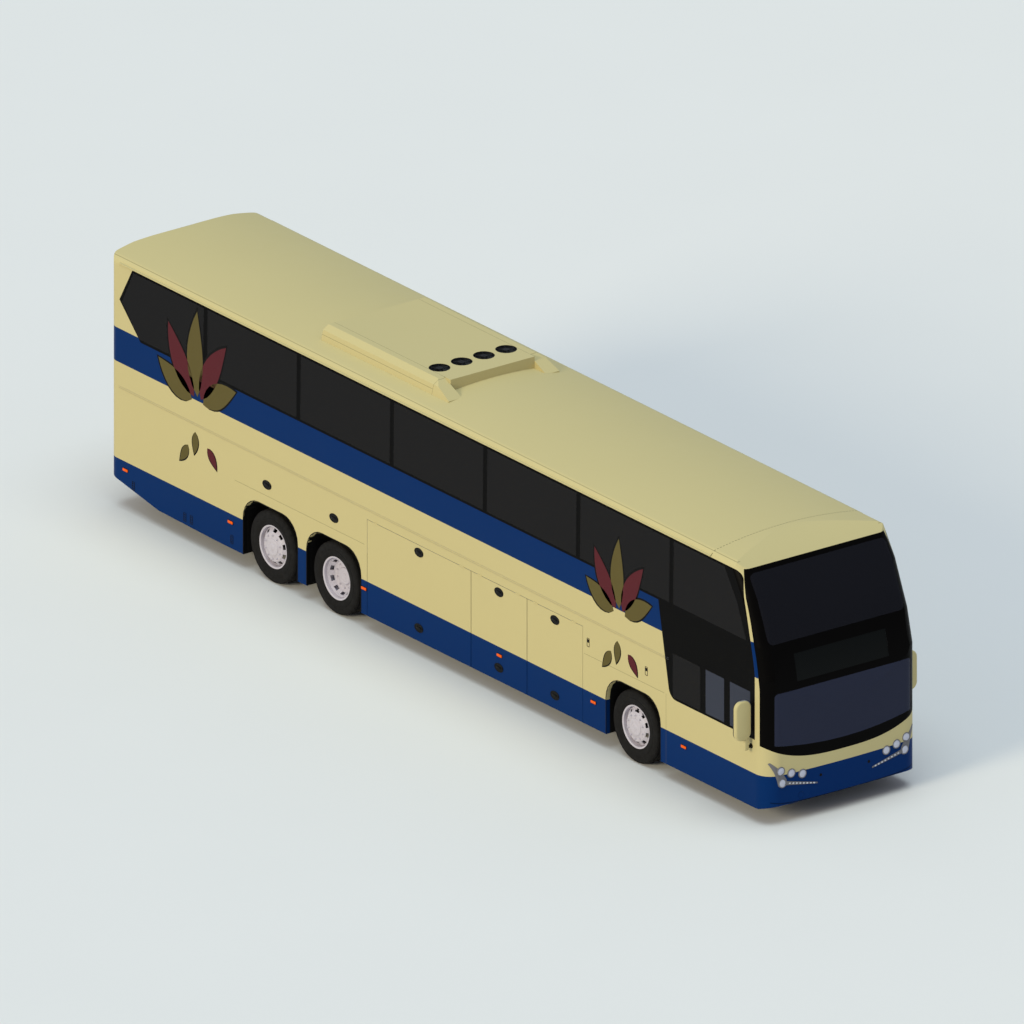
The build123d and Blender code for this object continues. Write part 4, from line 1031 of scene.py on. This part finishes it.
def make_mirrors():
    shells, arms, panes, rims = (bmesh.new() for _ in range(4))
    for side, sign in SIDES.items():
        y = MIRROR_Y[side]
        sets = shell, arm, pane, rim = [bmesh.new() for _ in range(4)]
        add_cased(shell, (1.302, y - MIRROR_DEEP, 1.207), (1.558, y + 0.030, 1.773), 0.105, 0.024)
        add_cased(shell, (1.332, y - 0.029, 1.052), (1.398, y + 0.029, 1.235), 0.014, 0.008, 3)
        add_cased(rim, (1.310, y + 0.026, 1.215), (1.550, y + 0.0435, 1.765), 0.098, 0.006)
        add_block(pane, (1.324, y + 0.0425, 1.392), (1.536, y + 0.0445, 1.752), 0.080, 6, only=1)
        add_block(pane, (1.324, y + 0.0425, 1.232), (1.536, y + 0.0445, 1.372), 0.050, 6, only=1)
        add_spun(arm, [(1.268, 0.0), (1.268, 0.036), (1.280, 0.036), (1.285, 0.022),
                       (1.345, 0.020), (1.345, 0.0)], (0, y, 1.090), axis="X", steps=24)
        for whole, part in zip((shells, arms, panes, rims), sets):
            if sign < 0:
                flipped(part)
            pour(part, whole)
    casing = finished("mirror_cases", shells, paint["panel"], 40)
    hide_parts("mirrors")
    finished("mirror_arms", arms, black, 40)
    finished("mirror_panes", panes, mirror_glass, 40)
    finished("mirror_rims", rims, dark_plastic, 40)


# ---- Roof pod: fan wells and guards ----

POD_TOP = 3.822
FANS = (-0.555, -0.185, 0.185, 0.555)
FAN_Y = 0.910
FAN_R = 0.145
FAN_BED = 0.034
GUARD_RINGS = (0.040, 0.075, 0.108, 0.138)
GUARD_WIRES = 4
GUARD_HALF = 0.0014


def make_fans():
    wells, guards = bmesh.new(), bmesh.new()
    for x in FANS:
        centre = (x, FAN_Y, POD_TOP)
        add_spun(wells, [(0.001 - FAN_BED, 0.052), (0.001 - FAN_BED, FAN_R - 0.001),
                         (-0.0006, FAN_R - 0.001), (-0.0006, FAN_R - 0.005),
                         (0.004 - FAN_BED, FAN_R - 0.007), (0.003 - FAN_BED, 0.052)],
                 centre, axis="Z", steps=48, shut=True)
        for radius in GUARD_RINGS:
            inner, outer = radius - GUARD_HALF, radius + GUARD_HALF
            add_spun(guards, [(-0.0012, inner), (-0.0012, outer), (-0.0040, outer),
                              (-0.0040, inner)], centre, axis="Z", steps=36, shut=True)
        for turn in range(GUARD_WIRES):
            wire = bmesh.new()
            add_block(wire, (-FAN_R + 0.002, -GUARD_HALF, -0.0042),
                      (FAN_R - 0.002, GUARD_HALF, -0.0014))
            turned(wire, math.pi * (turn + 0.5) / GUARD_WIRES, "Z", centre)
            pour(wire, guards)
    finished("fan_wells", wells, dark_plastic, 40)
    finished("fan_guards", guards, black, 40)


# ---- Door and tail ----

SEAL_INSET = 0.030
SEAL_WIDE = 0.016
HANDLE_INSET = 0.075
HANDLE_Z = 1.320
TAIL_STACK = ((1.075, 1.400), (0.150, 1.000))
STACK_RIM = 0.026
LID_BAR_Z = 0.900
REFLECTORS = (1.060, 0.640)
PLATE_Z = 0.560


def make_door_fittings():
    bm = bmesh.new()
    place = on_side(1)
    low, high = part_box("door")
    middle = ((low[1] + high[1]) / 2, (low[2] + high[2]) / 2)
    size = (high[1] - low[1] - 2 * SEAL_INSET, high[2] - low[2] - 2 * SEAL_INSET)
    lift = high[0] - HALF_W
    add_plate(bm, slab(middle, size, 0.012), place, lift + 0.002, sunk=-lift + 0.003,
              soften=0.001, hollow=SEAL_WIDE)
    finished("door_seal", bm, rubber, body="door")
    bm = bmesh.new()
    add_fitting(bm, place, (high[1] - HANDLE_INSET, HANDLE_Z), DOOR_HANDLE, lift)
    finished("door_handle", bm, black, body="door")


def make_tail():
    bezels, lamps, bars, recess = (bmesh.new() for _ in range(4))
    size = tuple(length + STACK_RIM for length in TAIL_STACK[1])
    for sign in (-1, 1):
        middle = (sign * TAIL_STACK[0][0], TAIL_STACK[0][1])
        add_plate(bezels, slab(middle, size, 0.030), on_tail, 0.003, soften=0.001, hollow=0.016)
        spot = (sign * REFLECTORS[0], REFLECTORS[1])
        add_fitting(lamps, on_tail, spot, REFLECTOR)
        add_fitting(bezels, on_tail, spot, REFLECTOR_RIM)
    finished("tail_lamp_bezels", bezels, dark_plastic)
    finished("tail_reflectors", lamps, red_dome)
    add_fitting(recess, on_tail, (0, LID_BAR_Z), LID_RECESS)
    add_fitting(bars, on_tail, (0, LID_BAR_Z), LID_BAR)
    finished("engine_lid_recess", recess, black, body="engine_lid")
    finished("engine_lid_bar", bars, chrome, body="engine_lid")
    bm = bmesh.new()
    add_fitting(bm, on_tail, (0, PLATE_Z), PLATE_RECESS)
    finished("plate_recess", bm, paint["panel"])


# ---- Decoration on the sides: fans of leaves, with small leaves falling from them ----

# Each fan's root along and up the side, and its scale
LEAF_FANS = (((5.330, 2.020), 1.0), ((-4.050, 1.980), 0.82))
# Leaves of a fan: turn in degrees from the tail, anticlockwise, length and film
LEAVES = ((28, 0.84, "olive"), (58, 1.08, "maroon"), (90, 1.22, "olive"), (122, 1.08, "maroon"),
          (152, 0.84, "olive"))
LEAF_WIDTH = 0.350
LEAF_START = 0.14
# Leaves that fall from it: where each begins from the root, its turn and its film
FALLING = ((0.04, -0.24, -85, "olive"), (-0.13, -0.42, -128, "maroon"),
           (0.13, -0.50, -55, "olive"))
FALLING_SIZE = (0.330, 0.135)
FILM_PROUD = {"black": 0.0012, "olive": 0.0022, "maroon": 0.0022}


def leaf(root, angle, length, width, bend=0.35, steps=9):
    """A pointed leaf from near its root, curved to one side."""
    left, right = [], []
    middle = Vector(root) + Vector((math.cos(angle), math.sin(angle))) * LEAF_START
    heading = angle - bend / 2
    for step in range(steps + 1):
        share = step / steps
        half = width / 2 * math.sin(math.pi * share ** 0.8) ** 0.9 if 0 < step < steps else 0.0
        across = Vector((-math.sin(heading), math.cos(heading)))
        left.append(tuple(middle + across * half))
        if 0 < step < steps:
            right.append(tuple(middle - across * half))
        middle = middle + Vector((math.cos(heading), math.sin(heading))) * length / steps
        heading += bend / steps
    return left + right[::-1]


def add_leaf(sheets, place, root, turn, size, film, border, cuts=()):
    """A coloured leaf on a black one that is longer by a factor and wider by a margin."""
    angle = math.radians(turn)
    length, width = size
    edge = leaf(root, angle, length * border[0], width + border[1])
    add_plate(sheets["black"], edge, place, FILM_PROUD["black"], cuts=cuts)
    add_plate(sheets[film], leaf(root, angle, length, width), place, FILM_PROUD[film], cuts=cuts)


def make_decoration():
    for side, sign in SIDES.items():
        place = on_side(sign)
        sheets = {film: bmesh.new() for film in films}
        for root, scale in LEAF_FANS:
            for turn, length, film in LEAVES:
                add_leaf(sheets, place, root, turn, (length * scale, LEAF_WIDTH * scale), film,
                         (1.05, 0.050), cuts=[(1, WAIST)])
            for along, up, turn, film in FALLING:
                start = (root[0] + along * scale, root[1] + up * scale)
                add_leaf(sheets, place, start, turn, FALLING_SIZE, film, (1.08, 0.030))
        for film, finish in films.items():
            finished(f"{film}_films_{side}", sheets[film], finish)


# ---- Seats ----

SEAT_WIDE = 0.455
PAD_CUTS = 9
SEAT_ROWS = 14
FIRST_ROW = -4.540
ROW_PITCH = 0.800
SEAT_PLACES = (0.482, 0.958)      # a pair's middles, out from the middle of the coach
LEG_PLACES = ((0.40, 0.43), (0.98, 1.01))
DECK_TOP = 1.660
CAB_TOP = 0.700
DRIVER = (-0.680, -6.140)
BACK_LEAN = math.radians(11)


def add_pad(bm, middle, half, tip=0.0, flutes=(), crown=0.16, waist=0.05, wings=0.0):
    """A sewn pad: crowned on top, its sides pulled in between its corners, with sewn channels.

    tip leans it about its own X axis, flutes are the channels' places from -1 to 1 along it, and
    wings raise its long edges."""
    pad = bmesh.new()
    bmesh.ops.create_cube(pad, size=2.0)
    bmesh.ops.subdivide_edges(pad, edges=pad.edges[:], cuts=PAD_CUTS, use_grid_fill=True)
    grid = 2.0 / (PAD_CUTS + 1)
    for vert in pad.verts:
        a, b, c = vert.co
        edge = max(abs(a), abs(b))
        width = half[0] * a * (1 - waist * (1 - b * b)) * (1 - 0.05 * c ** 4)
        length = half[1] * b * (1 - waist * (1 - a * a)) * (1 - 0.05 * c ** 4)
        corner = 1 - 0.10 * (abs(a) * abs(b)) ** 3
        height = half[2] * c * (1 - crown * edge ** 4)
        if c > 0.5:
            sewn = sum(max(0.0, 1 - abs(b - flute) / grid) for flute in flutes)
            height -= half[2] * 0.26 * sewn * (1 - abs(a) ** 6)
            height += wings * abs(a) ** 3
        vert.co = (width * corner, length * corner, height)
    turned(pad, tip, "X", middle)
    pour(pad, bm)


def add_seat(pads, shell, x, front, floor, width=SEAT_WIDE):
    """One seat: cushion, back with wings, headrest, and the moulded shell behind them."""
    half = width / 2 - 0.012
    add_pad(pads, (x, front + 0.205, floor + 0.425), (half, 0.225, 0.062), math.radians(4),
            (-0.4, 0.0, 0.4), wings=0.012)
    lean = math.radians(90) + BACK_LEAN
    add_pad(pads, (x, front + 0.405, floor + 0.690), (half, 0.235, 0.052), lean,
            (-0.6, -0.2, 0.2, 0.6), wings=0.022)
    add_pad(pads, (x, front + 0.470, floor + 0.988), (half * 0.80, 0.088, 0.044), lean, (),
            crown=0.25)
    panel = bmesh.new()
    add_block(panel, (x - half, -0.012, 0.0), (x + half, 0.012, 0.610), 0.011, 2)
    turned(panel, -BACK_LEAN, "X", (0, front + 0.430, floor + 0.440))
    pour(panel, shell)


def add_seat_legs(legs, shells, sign, front, floor):
    """What carries a pair of seats: four legs, the bar over them, and the armrest by the aisle."""
    def block(bm, near, far, low, high, rounding, segments):
        left, right = sorted((sign * near, sign * far))
        add_block(bm, (left, front + low[0], floor + low[1]),
                  (right, front + high[0], floor + high[1]), rounding, segments)

    for y in (0.12, 0.25):
        for near, far in LEG_PLACES:
            block(legs, near, far, (y, 0.001), (y + 0.03, 0.365), 0.004, 1)
    block(legs, 0.26, 1.18, (0.115, 0.345), (0.285, 0.368), 0.005, 1)
    block(shells, 0.262, 0.274, (0.16, 0.560), (0.42, 0.592), 0.005, 2)


def make_seats():
    shells, legs = bmesh.new(), bmesh.new()
    for side, sign in SIDES.items():
        pads = bmesh.new()
        for row in range(SEAT_ROWS):
            front = FIRST_ROW + ROW_PITCH * row
            for x in SEAT_PLACES:
                add_seat(pads, shells, sign * x, front, DECK_TOP)
            add_seat_legs(legs, shells, sign, front, DECK_TOP)
        piece = finished(f"passenger_seats_{side}", pads, cloth, 60)
        if side == "offside":
            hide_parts("seats")
    pads = bmesh.new()
    x, front = DRIVER
    floor = CAB_TOP
    add_seat(pads, shells, x, front, floor, 0.490)
    piece = finished("driver_seat", pads, cloth, 60)
    add_block(legs, (x - 0.18, front + 0.10, floor + 0.001),
              (x + 0.18, front + 0.30, floor + 0.040), 0.008, 2)
    add_spun(legs, [(floor + 0.03, 0.0), (floor + 0.03, 0.12), (floor + 0.10, 0.085),
                    (floor + 0.30, 0.085), (floor + 0.365, 0.12), (floor + 0.365, 0.0)],
             (x, front + 0.20, 0), axis="Z", steps=24)
    finished("seat_shells", shells, dash_plastic, 40)
    finished("seat_legs", legs, steel, 40)


make_wheels()
make_side_fittings()
make_nose()
make_mirrors()
make_fans()
make_door_fittings()
make_tail()
make_decoration()
make_seats()


# ---- Floor, light and camera ----

def make_floor():
    mesh = bpy.data.meshes.new("studio_floor")
    bm = bmesh.new()
    bmesh.ops.create_grid(bm, x_segments=1, y_segments=1, size=150)
    bm.to_mesh(mesh)
    bm.free()
    floor = bpy.data.objects.new("studio_floor", mesh)
    bpy.context.scene.collection.objects.link(floor)
    pale = Finish("studio_floor", (0.78, 0.77, 0.75), 0.9, specular=0.1)
    pale.coloured(pale.mottled((0.78, 0.77, 0.75), 0.4, 0.01))
    mesh.materials.append(pale.material)


SUNS = {
    # name: direction the light travels, strength, colour, softness in degrees
    "key_from_offside": ((0.93, 0.10, -0.36), 1.75, (1.0, 0.90, 0.66), 18),
    "sky_from_above": ((0.05, 0.12, -1.0), 1.36, (0.92, 1.09, 1.14), 50),
}


def make_lights():
    for name, (direction, strength, colour, softness) in SUNS.items():
        lamp = bpy.data.lights.new(name, "SUN")
        lamp.energy = strength
        lamp.color = colour
        lamp.angle = math.radians(softness)
        holder = bpy.data.objects.new(name, lamp)
        holder.rotation_euler = Vector(direction).to_track_quat("-Z", "Y").to_euler()
        bpy.context.scene.collection.objects.link(holder)
    world = bpy.data.worlds.new("studio_world")
    bpy.context.scene.world = world
    world.use_nodes = True
    background = world.node_tree.nodes["Background"]
    background.inputs["Color"].default_value = (0.80, 0.86, 1.0, 1)
    background.inputs["Strength"].default_value = 0.42


AZIMUTH = math.radians(-36.829)
ELEVATION = math.radians(21.791)
TARGET = Vector((0.141, 0.227, 1.800))
FRAME_WIDTH = 13.653
STAND_OFF = 40.0


def make_camera():
    camera = bpy.data.cameras.new("camera")
    camera.type = "ORTHO"
    camera.ortho_scale = FRAME_WIDTH
    camera.clip_end = 400
    holder = bpy.data.objects.new("camera", camera)
    back = Vector((math.sin(AZIMUTH) * math.cos(ELEVATION),
                   -math.cos(AZIMUTH) * math.cos(ELEVATION), math.sin(ELEVATION)))
    holder.location = TARGET + back * STAND_OFF
    holder.rotation_euler = (-back).to_track_quat("-Z", "Y").to_euler()
    bpy.context.scene.collection.objects.link(holder)
    bpy.context.scene.camera = holder


make_floor()
make_lights()
make_camera()
bpy.context.scene.view_settings.view_transform = "Standard"
